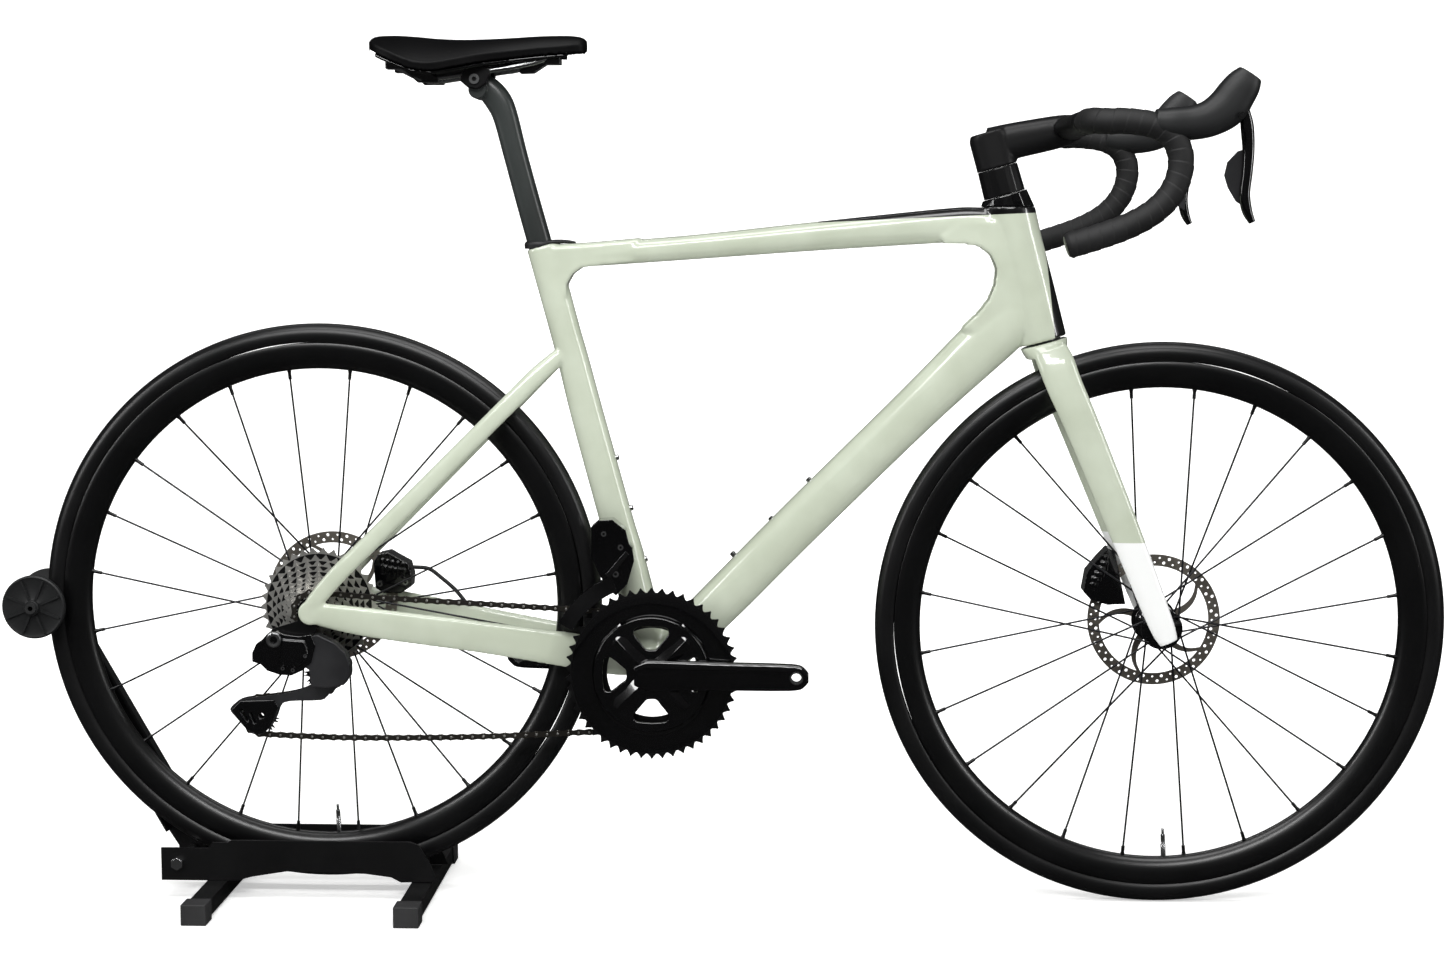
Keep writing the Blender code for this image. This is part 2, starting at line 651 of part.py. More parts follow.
def seat_parts(post, tilt, saddle, finish):
    rings = [post_section(run) for run in (225, 120, 0)]
    for x, z, lean, depth in ((226, 948, 20, 14.5), (215, 962, 38, 13), (203, 968, 55, 9)):
        aim = math.radians(lean)
        rings.append(
            oval(
                point((x, z)), Vector((math.cos(aim), 0, math.sin(aim))), SIDEWAYS, depth,
                POST_HALF_WIDTH, 16,
            )
        )
    head = rod((197, 973), 11, -20, 20)
    piece("seatpost", joined(loft(rings), head), finish["carbon"], post)

    slope = math.radians(8)
    rail_run = Vector((math.cos(slope), 0, math.sin(slope)))
    middle = Vector((192, 0, 992))

    def rail_side(sign):
        return [
            Vector((98, sign * 30, 1002)), Vector((112, sign * 28, 995)), Vector((130, sign * 24, 986)),
            middle + rail_run * -54 + SIDEWAYS * sign * RAIL_Y,
            middle + rail_run * -30 + SIDEWAYS * sign * RAIL_Y,
            middle + rail_run * 30 + SIDEWAYS * sign * RAIL_Y,
            middle + rail_run * 46 + SIDEWAYS * sign * RAIL_Y,
            Vector((262, sign * 15, 1004)), Vector((280, sign * 7, 1010)),
        ]

    route = smooth_path([*rail_side(-1), Vector((287, 0, 1012)), *rail_side(1)[::-1]], 2)
    piece("saddle_rails", round_tube(route, RAIL_RADIUS, 6), finish["steel"], saddle)

    grips = []
    for sign in (-1, 1):
        start, end = (middle + rail_run * run + SIDEWAYS * sign * RAIL_Y for run in (-60, 60))
        grips.append(round_tube([start, (start + end) / 2, end], RAIL_RADIUS + GAP, 12))
    body = slab(
        [(177, 981), (178, 996), (207, 1000), (214, 989), (211, 974), (204, 962), (188, 962), (180, 970)],
        -30, 30,
    )
    clamp = cut(
        body, *grips, rod((197, 973), 11 + GAP, -20 - GAP, 20 + GAP),
        block((150, 240), (-13, 13), (940, 980)),
                block((196, 240), (-21, 21), (950, 969)))
    piece("saddle_clamp", clamp, finish["black"], tilt)

    stations = (
        (74, 44, 1034, 8), (84, 62, 1036, 14), (104, 71, 1036.5, 24), (128, 73, 1035, 32),
        (150, 69, 1033, 32),
        (176, 56, 1032, 26), (204, 41, 1032.5, 20), (236, 30, 1034, 17), (270, 24, 1036, 15),
        (300, 21, 1036.5, 13), (316, 15, 1035, 10),
    )

    def arch(inset, top_drop, thickness, count=7):
        rings = []
        for x, half, z, fall in stations:
            upper, lower = [], []
            width = half - inset
            for i in range(count):
                t = -1 + 2 * i / (count - 1)
                sag = fall * abs(t) ** 2.6
                upper.append(Vector((x, width * t, z - top_drop - sag)))
                lower.append(Vector((x, (width - 1) * t, z - top_drop - sag - thickness)))
            rings.append([*upper, *lower[::-1]])
        return rings

    piece("saddle_pad", loft(arch(0, 0, 9)), finish["leather"], saddle)
    shell = loft(arch(4, 10.4, 3.5)[1:-1])
    rear_socket = [block((92, 112), sorted((sign * 22, sign * 38)), (996, 1024)) for sign in (-1, 1)]
    nose_socket = block((272, 294), (-12, 12), (1003, 1026))
    wire_room = round_tube(route, RAIL_RADIUS + GAP, 6)
    top_room = loft(arch(0, -6, 15.4))
    shell = cut_flush(joined_flush(shell, *rear_socket, nose_socket), wire_room, top_room)
    piece("saddle_shell", shell, finish["black"], saddle)


# ---------------------------------------------------------------- wheels


def wheel_parts(prefix, center, parent, flanges, hub_profile, rotor_y, finish):
    outer = [
        (325 + 14 * math.sin(a), TYRE_HALF * math.cos(a)) for a in (
            math.radians(-38 + 256 * i / 6) for i in range(7)
        )
    ]
    hollow = TYRE_HALF - TYRE_WALL
    inner = [
        (325 + hollow * math.sin(a), hollow * math.cos(a)) for a in (
            math.radians(218 - 256 * i / 3) for i in range(4)
        )
    ]
    piece(f"{prefix}_tyre", turned([*outer, *inner], center, 36), finish["rubber"], parent)

    rim = [
        (RIM_TOP, 12.8), (297, 11.8), (286, 5), (286, -5), (297, -11.8), (RIM_TOP, -12.8),
        (RIM_TOP, -10.8), (296, -9.2), (289, 0), (296, 9.2), (RIM_TOP, 10.8),
    ]
    piece(f"{prefix}_rim", turned(rim, center, 36), finish["rim"], parent)

    spokes = []
    for i in range(SPOKES):
        side = flanges[i % 2]
        at_rim = 2 * math.pi * (i + 0.5) / SPOKES
        lean = math.radians(SPOKE_LEAN_DEG) * (1 if (i // 2) % 2 else -1)
        start = Vector(
            (side[1] * math.cos(at_rim + lean), side[0], side[1] * math.sin(at_rim + lean))
        ) + point(center)
        end_r = RIM_INNER - 1.5
        end = Vector(
            (end_r * math.cos(at_rim), 1.2 * (1 if side[0] > 0 else -1), end_r * math.sin(at_rim))
        ) + point(center)
        spokes.append(round_tube([start, end], 0.9, 3))
    nipple_ring = turned(
        [(RIM_INNER - 3, -2.6), (RIM_INNER - 3, 2.6), (RIM_INNER, 2.6), (RIM_INNER, -2.6)], center, 36,
    )
    piece(f"{prefix}_spokes", joined(nipple_ring, *spokes), finish["steel"], parent)

    piece(f"{prefix}_hub", turned(hub_profile, center, 14), finish["black"], parent)

    ring = turned(
        [
            (66, rotor_y - 0.9), (66, rotor_y + 0.9), (ROTOR_RADIUS, rotor_y + 0.9),
            (ROTOR_RADIUS, rotor_y - 0.9),
        ],
        center, 32,
    )
    carrier = turned(
        [(15 + GAP, rotor_y - 1.4), (15 + GAP, rotor_y + 1.4), (27, rotor_y + 1.4), (27, rotor_y - 1.4)],
        center, 18,
    )
    arms = []
    for i in range(5):
        angle = 2 * math.pi * (i + 0.25) / 5
        near = (center[0] + 24 * math.cos(angle), center[1] + 24 * math.sin(angle))
        far = (center[0] + 68 * math.cos(angle + 0.3), center[1] + 68 * math.sin(angle + 0.3))
        arms.append(slab(capsule(near, far, 5, 4, 5), rotor_y - 0.8, rotor_y + 0.8))
    piece(f"{prefix}_rotor", joined(ring, carrier, *arms), finish["steel"], parent)


def hub_profile(end, left_flange, right_flange, bore, right_core, rotor_y):
    """Hub shell from its right end (-y) to its left end, with two spoke flanges, as (radius, y)."""
    right, left = -right_flange, left_flange
    return [
        (bore, -end), (right_core, -end), (right_core, right - 4), (24.5, right - 1.3),
        (24.5, right + 1.3), (14, right + 8),
        (13, 0), (14, left - 8), (24.5, left - 1.3), (24.5, left + 1.3), (14.9, left + 5),
        (14.9, rotor_y + 3), (11, rotor_y + 4),
        (11, end), (bore, end),
    ]


def cassette_solid():
    """Twelve sprockets stacked as steps, each turned at its tooth tips."""
    profile = [(17 + GAP, SMALL_COG_Y - 0.8)]
    for i, teeth in enumerate(COG_TEETH):
        y = SMALL_COG_Y + COG_SPACING * i
        tip = pitch_radius(teeth) + (2.0 if i else -CHAIN_HALF_HEIGHT - GAP)
        profile.append((tip, y - 0.8))
        profile.append((tip, y + (COG_SPACING - 0.9 if i < len(COG_TEETH) - 1 else 0.8)))
    profile.append((17 + GAP, SMALL_COG_Y + COG_SPACING * (len(COG_TEETH) - 1) + 0.8))
    return turned(profile, REAR_AXLE, 20)


# ---------------------------------------------------------------- drive


def wrap_route(wheels):
    """A belt's route round circles given as (x, z, radius, turn), turn +1 where it runs anticlockwise."""
    arcs = []
    count = len(wheels)
    tangents = []
    for i in range(count):
        a, b = wheels[i], wheels[(i + 1) % count]
        ra, rb = a[2] * a[3], b[2] * b[3]
        dx, dz = b[0] - a[0], b[1] - a[1]
        distance = math.hypot(dx, dz)
        heading = math.atan2(dz, dx)
        normal = heading - math.acos((ra - rb) / distance)
        tangents.append((
            (a[0] + ra * math.cos(normal), a[1] + ra * math.sin(normal)),
            (b[0] + rb * math.cos(normal), b[1] + rb * math.sin(normal)),
        ))
    for i in range(count):
        x, z, _, turn = wheels[i]
        entry, leave = tangents[i - 1][1], tangents[i][0]
        start = math.atan2(entry[1] - z, entry[0] - x)
        sweep = (math.atan2(leave[1] - z, leave[0] - x) - start) * turn % (2 * math.pi) * turn
        arcs.append((start, sweep))
    return tangents, arcs


def chain_solid():
    ring_r = pitch_radius(INNER_TEETH)
    cog_r = pitch_radius(COG_TEETH[0])
    wheels = [
        (*BOTTOM_BRACKET, ring_r, 1),
        (*REAR_AXLE, cog_r, 1),
        (*GUIDE_PULLEY, cog_r, -1),
        (*TENSION_PULLEY, cog_r, 1),
    ]
    tangents, arcs = wrap_route(wheels)
    route = []
    for i, (wheel, (start, sweep)) in enumerate(zip(wheels, arcs)):
        steps = max(4, round(abs(sweep) * (10 if i == 0 else 4)))
        side = INNER_RING_Y if i == 0 else SMALL_COG_Y
        for k in range(steps + 1):
            angle = start + sweep * k / steps
            route.append(
                Vector((wheel[0] + wheel[2] * math.cos(angle), side, wheel[1] + wheel[2] * math.sin(angle)))
            )
        if i in (0, 3):
            first, last = (Vector((p[0], 0, p[1])) for p in tangents[i])
            droop = 0 if i == 0 else 7
            for k in range(1, 8):
                t = k / 8
                spot = first.lerp(last, t)
                from_ring = t if i == 0 else 1 - t
                shift = min(1, max(0, (from_ring - 0.2) / 0.6))
                spot.y = INNER_RING_Y + (SMALL_COG_Y - INNER_RING_Y) * shift
                spot.z -= droop * 4 * t * (1 - t)
                route.append(spot)
    rings = []
    for i, spot in enumerate(route):
        run = route[(i + 1) % len(route)] - route[i - 1]
        out = Vector((-run.z, 0, run.x)).normalized()
        corners = ((1, 1), (1, -1), (-1, -1), (-1, 1))
        rings.append(
            [spot + out * CHAIN_HALF_HEIGHT * a + SIDEWAYS * CHAIN_HALF_WIDTH * b for a, b in corners]
        )
    return loft(rings, loop=True)


def crank_arm(sign, side_sign):
    """A crank arm from the axis along +x or -x; side_sign is its side of the bicycle."""
    x, z = BOTTOM_BRACKET
    runs = (
        (-20, 59, 12), (-10, 59, 17), (0, 59, 19), (40, 59.5, 18), (90, 61.5, 17), (150, 64.5, 16.5),
        (175, 65.5, 15), (183, 65.8, 10), (187, 66, 5),
    )
    stations = [(x + sign * run, side_sign * y, z, half, 7) for run, y, half in runs]
    arm = upright_loft(stations, 14, 3.2)
    return cut(arm, rod((x + sign * CRANK_LENGTH, z), 7, *sorted((side_sign * 40, side_sign * 90))))


def drive_parts(crank, cassette, finish):
    x, z = BOTTOM_BRACKET
    spider = []
    for i in range(4):
        angle = math.radians(45 + 90 * i)
        tip = (x + 72 * math.cos(angle), z + 72 * math.sin(angle))
        boss = (x + 58 * math.cos(angle), z + 58 * math.sin(angle))
        spider.append(slab(capsule(BOTTOM_BRACKET, tip, 17, 9, 7), -58, -49.8))
        spider.append(rod(boss, 5, -51, INNER_RING_Y - 1.2 - GAP, 12))
    spindle = rod(BOTTOM_BRACKET, 12, -58, 67)
    piece("crank_right", joined_flush(crank_arm(1, -1), spindle, *spider), finish["gloss"], crank)
    left = cut(
        joined(crank_arm(-1, 1), rod(BOTTOM_BRACKET, 18, 52, 66)), rod(BOTTOM_BRACKET, 12 + GAP, 40, 90),
    )
    piece("crank_left", left, finish["gloss"], crank)

    for name, teeth, side, inner, thick in (
        ("outer", OUTER_TEETH, OUTER_RING_Y, 66 + GAP, 1.4), ("inner", INNER_TEETH, INNER_RING_Y, 54, 1.2)
    ):
        pitch = pitch_radius(teeth)
        tip, root = (pitch + 2.4, pitch - 3.6) if name == "outer" else (
            pitch - CHAIN_HALF_HEIGHT - GAP, pitch - 6.5,
        )
        ring = slab(toothed(BOTTOM_BRACKET, teeth, tip, root), side - thick, side + thick)
        ring = cut(ring, rod(BOTTOM_BRACKET, inner, side - 10, side + 10, 30))
        piece(f"chainring_{name}", ring, finish["black"], crank)

    piece("cassette", cassette_solid(), finish["steel"], cassette)
    piece("chain", chain_solid(), finish["chain"], bpy.data.objects["bicycle"])


def derailleur_parts(pivots, finish):
    bicycle, cage_swing = pivots["bicycle"], pivots["front_cage"]
    motor = joined(
        slab([(331, 425), (333, 462), (345, 468), (364, 464), (368, 440), (366, 418)], -54, -24),
        block((352, 384), (-30, -21.5), (412, 446)),
    )
    piece("front_derailleur_body", motor, finish["black"], bicycle)

    bb = BOTTOM_BRACKET
    band = [*arc(bb, 126, 112, 151, 8), *arc(bb, 107.5, 151, 112, 8)]
    bridge = [*arc(bb, 126, 112, 124, 4), *arc(bb, 120, 124, 112, 4)]
    cage = joined(slab(band, -53.5, -51.6), slab(band, -36.5, -34.6), slab(bridge, -52.5, -35.5))
    piece("front_derailleur_cage", cage, finish["steel"], cage_swing)

    body = joined(
        slab(
            [
                (-66, 303), (-64, 322), (-52, 342), (-34, 344), (-22, 334), (-6, 322), (-6, 296),
                (-24, 287), (-46, 291),
            ],
            -94, -75 - GAP,
        ),
        rod(HANGER_BOLT, 4, -80, -70.5),
    )
    piece("rear_derailleur_body", body, finish["black"], pivots["rear_body"])

    hole = rod(CAGE_PIVOT, 5 + GAP, -100, -60)
    knuckle = slab([(-5, 297), (-5, 321), (8, 324), *arc(CAGE_PIVOT, 21, 70, -100, 9)], -94, -72)
    piece("rear_derailleur_link", cut(knuckle, hole), finish["black"], pivots["rear_link"])

    plates = []
    for low, high in ((-71.4, -69.4), (-60, -58.4)):
        plates.append(slab(capsule(CAGE_PIVOT, GUIDE_PULLEY, 18, 12), low, high))
        plates.append(slab(capsule(GUIDE_PULLEY, TENSION_PULLEY, 9, 11), low, high))
        plates.append(slab([(-93, 243), (-70, 252), (-56, 226), (-66, 212)], low, high))
    pins = [
        rod(GUIDE_PULLEY, 3, -70, -59, 12), rod(TENSION_PULLEY, 3, -70, -59, 12),
        rod(CAGE_PIVOT, 5, -92, -70, 16),
    ]
    cage = joined(plates[0], *plates[1:3], *pins, *plates[3:])
    piece("rear_derailleur_cage", cage, finish["black"], pivots["rear_cage"])

    tip = pitch_radius(PULLEY_TEETH) - CHAIN_HALF_HEIGHT - GAP
    for name, center in (("guide", GUIDE_PULLEY), ("tension", TENSION_PULLEY)):
        wheel = slab(toothed(center, PULLEY_TEETH, tip, tip - 3), SMALL_COG_Y - 1.5, SMALL_COG_Y + 1.5)
        wheel = cut(wheel, rod(center, 3 + GAP, -80, -50, 12))
        piece(f"{name}_pulley", wheel, finish["black"], pivots[name])


# ---------------------------------------------------------------- the whole object


def main():
    for old in list(bpy.data.objects):
        bpy.data.objects.remove(old)

    finish = {
        "stand": material("black powder-coated steel", (0.02, 0.02, 0.022), 0.45),
        "cap": material("grey moulded plastic", (0.05, 0.05, 0.052), 0.6),
        "steel": material("bright steel", (0.6, 0.6, 0.6), 0.3, 1.0),
        "paint": material("pale sage gloss paint", (0.60, 0.65, 0.52), 0.15),
        "black": material("satin black", (0.02, 0.02, 0.022), 0.35),
        "gloss": material("gloss black", (0.01, 0.01, 0.012), 0.12),
        "rubber": material("black rubber", (0.02, 0.02, 0.02), 0.7),
        "tape": material("black bar tape", (0.03, 0.03, 0.03), 0.75),
        "carbon": material("dark carbon", (0.03, 0.03, 0.035), 0.35),
        "leather": material("black synthetic leather", (0.03, 0.03, 0.035), 0.6),
        "rim": material("satin black rim", (0.015, 0.015, 0.017), 0.3),
        "chain": material("dark steel chain", (0.25, 0.24, 0.22), 0.35, 1.0),
    }

    stand = pivot_empty("stand", (ORIGIN_X, 0))
    arm_fold = pivot_empty("arm_fold", ARM_PIVOT, 0, stand)
    roller = pivot_empty("roller_spin", ROLLER, 0, arm_fold)
    spool = stand_parts(stand, arm_fold, finish)
    piece("stand_roller", spool, finish["rubber"], roller)

    bicycle = pivot_empty("bicycle", REAR_AXLE, 0, stand)
    frame_parts(bicycle, finish)

    steering = pivot_empty("steering", CROWN, 0, bicycle)
    fork_parts(steering, finish)
    levers, paddles = {}, {}
    for side, sign in (("right", -1), ("left", 1)):
        levers[side] = pivot_empty(f"lever_{side}", LEVER_PIVOT, sign * LEVER_Y, steering)
        paddles[side] = pivot_empty(f"paddle_{side}", (1061, 866), sign * (LEVER_Y - 8), levers[side])
    control_parts(steering, levers, paddles, finish)

    post = pivot_empty("seatpost_slide", POST_TOP, 0, bicycle)
    tilt = pivot_empty("saddle_tilt", (197, 973), 0, post)
    saddle = pivot_empty("saddle_slide", SADDLE_TILT, 0, tilt)
    seat_parts(post, tilt, saddle, finish)

    front_wheel = pivot_empty("front_wheel", FRONT_AXLE, 0, steering)
    rear_wheel = pivot_empty("rear_wheel", REAR_AXLE, 0, bicycle)
    bore = AXLE_RADIUS + GAP
    wheel_parts(
        "front", FRONT_AXLE, front_wheel, ((23.5, 22), (-34.5, 22)),
        hub_profile(50, 20, 31, bore, 10, FRONT_ROTOR_Y), FRONT_ROTOR_Y, finish,
    )
    wheel_parts(
        "rear", REAR_AXLE, rear_wheel, ((38.5, 22), (-20.5, 22)),
        hub_profile(71, 35, 17, bore, 17, REAR_ROTOR_Y), REAR_ROTOR_Y, finish,
    )

    crank = pivot_empty("crank_spin", BOTTOM_BRACKET, 0, bicycle)
    cassette = pivot_empty("cassette_spin", REAR_AXLE, SMALL_COG_Y, bicycle)
    drive_parts(crank, cassette, finish)

    rear_body = pivot_empty("rear_body", HANGER_BOLT, -85, bicycle)
    rear_link = pivot_empty("rear_link", CAGE_PIVOT, -85, rear_body)
    rear_cage = pivot_empty("rear_cage", CAGE_PIVOT, -70, rear_link)
    pivots = {
        "bicycle": bicycle,
        "front_cage": pivot_empty("front_cage", (352, 412), -44, bicycle),
        "rear_body": rear_body,
        "rear_link": rear_link,
        "rear_cage": rear_cage,
        "guide": pivot_empty("guide_spin", GUIDE_PULLEY, SMALL_COG_Y, rear_cage),
        "tension": pivot_empty("tension_spin", TENSION_PULLEY, SMALL_COG_Y, rear_cage),
    }
    derailleur_parts(pivots, finish)


main()
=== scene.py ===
import json
import math

import bmesh
import bpy
import numpy as np
from mathutils import Matrix, Vector


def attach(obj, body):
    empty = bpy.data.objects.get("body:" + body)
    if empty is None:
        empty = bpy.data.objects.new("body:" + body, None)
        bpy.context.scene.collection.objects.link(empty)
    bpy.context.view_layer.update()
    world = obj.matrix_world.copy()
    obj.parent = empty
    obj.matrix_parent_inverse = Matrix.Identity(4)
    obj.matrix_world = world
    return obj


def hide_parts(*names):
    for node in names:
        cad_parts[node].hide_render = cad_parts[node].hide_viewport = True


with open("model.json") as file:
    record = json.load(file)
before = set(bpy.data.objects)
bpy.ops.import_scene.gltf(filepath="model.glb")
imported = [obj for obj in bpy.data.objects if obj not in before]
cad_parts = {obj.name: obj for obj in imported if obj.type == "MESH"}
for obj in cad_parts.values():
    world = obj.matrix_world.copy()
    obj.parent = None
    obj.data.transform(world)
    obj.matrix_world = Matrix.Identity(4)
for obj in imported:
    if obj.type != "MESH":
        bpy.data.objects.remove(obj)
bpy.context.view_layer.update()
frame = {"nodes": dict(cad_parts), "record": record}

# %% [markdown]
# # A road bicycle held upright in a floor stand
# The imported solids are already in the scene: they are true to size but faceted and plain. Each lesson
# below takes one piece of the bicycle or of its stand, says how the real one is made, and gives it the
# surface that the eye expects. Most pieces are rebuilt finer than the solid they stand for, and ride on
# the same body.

joints = {joint["name"]: joint for joint in frame["record"]["behaviour"]["joints"]}

# %% [markdown]
# ## One ruler for everything
# A frame builder measures a bicycle from the rear axle and the floor, in millimetres. The lessons keep
# that ruler: `x` runs forward from the rear axle, `y` to the rider's left, `z` up from the floor. One
# matrix at the very end of each piece turns it into the scene's metres, so no other line has to think
# about units.

# %% The ruler, and the places read from the joints
MM = 0.001
SIDEWAYS = Vector((0, 1, 0))
REAR_X = joints["rear_wheel_spin"]["pos_m"][0]
TO_SCENE = Matrix.Translation((REAR_X, 0, 0)) @ Matrix.Scale(MM, 4)


def joint_place(name):
    """Where a joint is, in millimetres from the rear axle and the floor."""
    x, y, z = joints[name]["pos_m"]
    return Vector(((x - REAR_X) / MM, y / MM, z / MM))


def flat(spot):
    """The (x, z) of a place seen from the side."""
    return (spot.x, spot.z)


rear_axle = flat(joint_place("rear_wheel_spin"))
front_axle = flat(joint_place("front_wheel_spin"))
crank_axle = flat(joint_place("crank_spin"))
guide_axle = flat(joint_place("guide_spin"))
tension_axle = flat(joint_place("tension_spin"))
cage_pivot = flat(joint_place("rear_cage_swing"))
hanger_bolt = flat(joint_place("rear_derailleur_swing"))
crown = joint_place("steering_turn")
roller_axle = flat(joint_place("roller_spin"))
steering_up = Vector(joints["steering_turn"]["axis"]).normalized()
steering_forward = Vector((steering_up.z, 0, -steering_up.x))
print("wheelbase", round(front_axle[0] - rear_axle[0], 1), "mm, crank axle at", crank_axle)

# %% [markdown]
# ## Shapes from rings
# Nearly everything on a bicycle is a tube, a turned part or a pressed plate. All three can be drawn as
# rings of points with a skin stretched over them: a tube has its rings along a path, a turned part has
# them round an axle, and a plate has two rings, one for each face. A few small functions are enough for
# the whole object.

# %% Ring and skin helpers


def point(xz, y=0.0):
    return Vector((xz[0], y, xz[1]))


def along_steering(rise, forward=0.0, y=0.0):
    """A point so far up the steering axis from the crown race, and so far in front of it."""
    return Vector(crown) + steering_up * rise + steering_forward * forward + SIDEWAYS * y


def oval(center, u, v, half_u, half_v, count=40, power=2.0):
    """A superellipse ring: power 2 is an ellipse, 4 is nearly a rectangle."""
    ring = []
    for i in range(count):
        angle = 2 * math.pi * (i + 0.5) / count
        c, s = math.cos(angle), math.sin(angle)
        du = half_u * math.copysign(abs(c) ** (2 / power), c)
        dv = half_v * math.copysign(abs(s) ** (2 / power), s)
        ring.append(center + u * du + v * dv)
    return ring


def skin(rings, loop=False, ends=True):
    """Faces between rings of equal length, closed with flat ends unless the rings come round again."""
    bm = bmesh.new()
    rows = [[bm.verts.new(p) for p in ring] for ring in rings]
    pairs = list(zip(rows, rows[1:]))
    if loop:
        pairs.append((rows[-1], rows[0]))
    count = len(rows[0])
    for low, high in pairs:
        for i in range(count):
            j = (i + 1) % count
            bm.faces.new((low[i], low[j], high[j], high[i]))
    if ends and not loop:
        bm.faces.new(rows[0][::-1])
        bm.faces.new(rows[-1])
    return bm


def curve_through(points, steps=6):
    """Points on a Catmull-Rom curve, which passes through every point it is given."""
    ends = [points[0] * 2 - points[1], *points, points[-1] * 2 - points[-2]]
    path = []
    for a, b, c, d in zip(ends, ends[1:], ends[2:], ends[3:]):
        for k in range(steps):
            t = k / steps
            path.append(0.5 * (
                2 * b + (c - a) * t + (2 * a - 5 * b + 4 * c - d) * t**2 + (3 * b - a - 3 * c + d) * t**3
            ))
    return [*path, points[-1]]


def shaped_tube(stations, count=40, power=2.5, steps=6):
    """A tube through (x, y, z, half depth, half width), its sections square to the run seen from the side."""
    rows = [np.array(s, float) for s in stations]
    rows = curve_through(rows, steps)
    rings = []
    for i, row in enumerate(rows):
        run = rows[min(i + 1, len(rows) - 1)] - rows[max(i - 1, 0)]
        run = Vector((run[0], 0, run[2])).normalized()
        across = Vector((-run.z, 0, run.x))
        rings.append(oval(Vector(row[:3]), across, SIDEWAYS, row[3], row[4], count, power))
    return skin(rings)


def round_tube(path, radius, count=20):
    """A round tube along a path; the radius may be one number or one for each point."""
    radii = radius if isinstance(radius, list) else [radius] * len(path)
    side = (path[1] - path[0]).orthogonal().normalized()
    rings = []
    for i, center in enumerate(path):
        run = (path[min(i + 1, len(path) - 1)] - path[max(i - 1, 0)]).normalized()
        side = (side - run * side.dot(run)).normalized()
        rings.append(oval(center, side, run.cross(side), radii[i], radii[i], count))
    return skin(rings)


def turned(profile, center=(0.0, 0.0), count=96):
    """A closed profile of (radius, y) turned about the sideways axis."""
    rings = []
    for i in range(count):
        angle = 2 * math.pi * i / count
        out = Vector((math.cos(angle), 0, math.sin(angle)))
        rings.append([point(center, y) + out * r for r, y in profile])
    return skin(rings, loop=True)


def rod(center, radius, y_low, y_high, count=32):
    """A round bar across the bicycle, with a small chamfer at both ends."""
    lip = min(0.4, radius * 0.2)
    steps = ((y_low, radius - lip), (y_low + lip, radius), (y_high - lip, radius), (y_high, radius - lip))
    across, up = Vector((1, 0, 0)), Vector((0, 0, 1))
    return skin([oval(point(center, y), across, up, r, r, count) for y, r in steps])


def plate(outline, y_low, y_high):
    """A flat plate standing along the bicycle, from its outline in (x, z)."""
    return skin([[point(p, y) for p in outline] for y in (y_low, y_high)])


def arc(center, radius, start_deg, end_deg, count):
    angles = [math.radians(start_deg + (end_deg - start_deg) * i / (count - 1)) for i in range(count)]
    return [(center[0] + radius * math.cos(a), center[1] + radius * math.sin(a)) for a in angles]


def gathered(parts):
    """Several shapes in one mesh, as pieces that are riveted or screwed together."""
    whole = bmesh.new()
    for part in parts:
        bmesh.ops.recalc_face_normals(part, faces=part.faces)
        mesh = bpy.data.meshes.new("part")
        part.to_mesh(mesh)
        part.free()
        whole.from_mesh(mesh)
        bpy.data.meshes.remove(mesh)
    return whole


# %% [markdown]
# ## Moulded skins and machined edges
# A carbon frame comes out of a mould: its tubes melt into each other with soft fillets. Modelling each
# fillet by hand would take long and still leave seams, so the joined solid is wrapped in an even net of
# small faces (a voxel remesh) and the net is relaxed. Plain relaxing shrinks thin tubes, so every step in
# is followed by a slightly larger step out: small facets vanish and the tube keeps its size. A machined
# part is the opposite, its faces are flat and only the edges are broken, and a Bevel modifier does that.

# %% Two ways to finish a solid


def welded_copy(node):
    """A scene object holding a copy of a solid's mesh, with its split corners joined again."""
    bm = bmesh.new()
    bm.from_mesh(frame["nodes"][node].data)
    bmesh.ops.remove_doubles(bm, verts=bm.verts, dist=1e-6)
    mesh = bpy.data.meshes.new(node)
    bm.to_mesh(mesh)
    bm.free()
    made = bpy.data.objects.new("copy", mesh)
    bpy.context.scene.collection.objects.link(made)
    return made


def evaluated(made):
    """The mesh that an object's modifiers give; the object itself is removed."""
    graph = bpy.context.evaluated_depsgraph_get()
    mesh = bpy.data.meshes.new_from_object(made.evaluated_get(graph))
    bpy.data.objects.remove(made)
    return mesh


def relax(mesh, passes):
    """Smooths a net of faces without shrinking it: each step in is followed by a step out."""
    count = len(mesh.vertices)
    spots = np.empty(count * 3)
    mesh.vertices.foreach_get("co", spots)
    spots = spots.reshape(-1, 3)
    ends = np.empty(len(mesh.edges) * 2, np.int32)
    mesh.edges.foreach_get("vertices", ends)
    first, second = ends.reshape(-1, 2).T
    degree = np.maximum(np.bincount(ends, minlength=count), 1)[:, None]
    for step in range(2 * passes):
        pull = -0.53 if step % 2 else 0.5
        total = np.stack([
            np.bincount(first, weights=spots[second, k], minlength=count)
            + np.bincount(second, weights=spots[first, k], minlength=count)
            for k in range(3)
        ], axis=1)
        spots += pull * (total / degree - spots)
    mesh.vertices.foreach_set("co", spots.ravel())
    mesh.update()


def moulded(made, voxel, passes):
    """The mesh of an object wrapped in an even net of faces voxel millimetres wide, and relaxed."""
    wrap = made.modifiers.new("even net", "REMESH")
    wrap.mode = "VOXEL"
    wrap.voxel_size = voxel * MM
    mesh = evaluated(made)
    relax(mesh, passes)
    return mesh


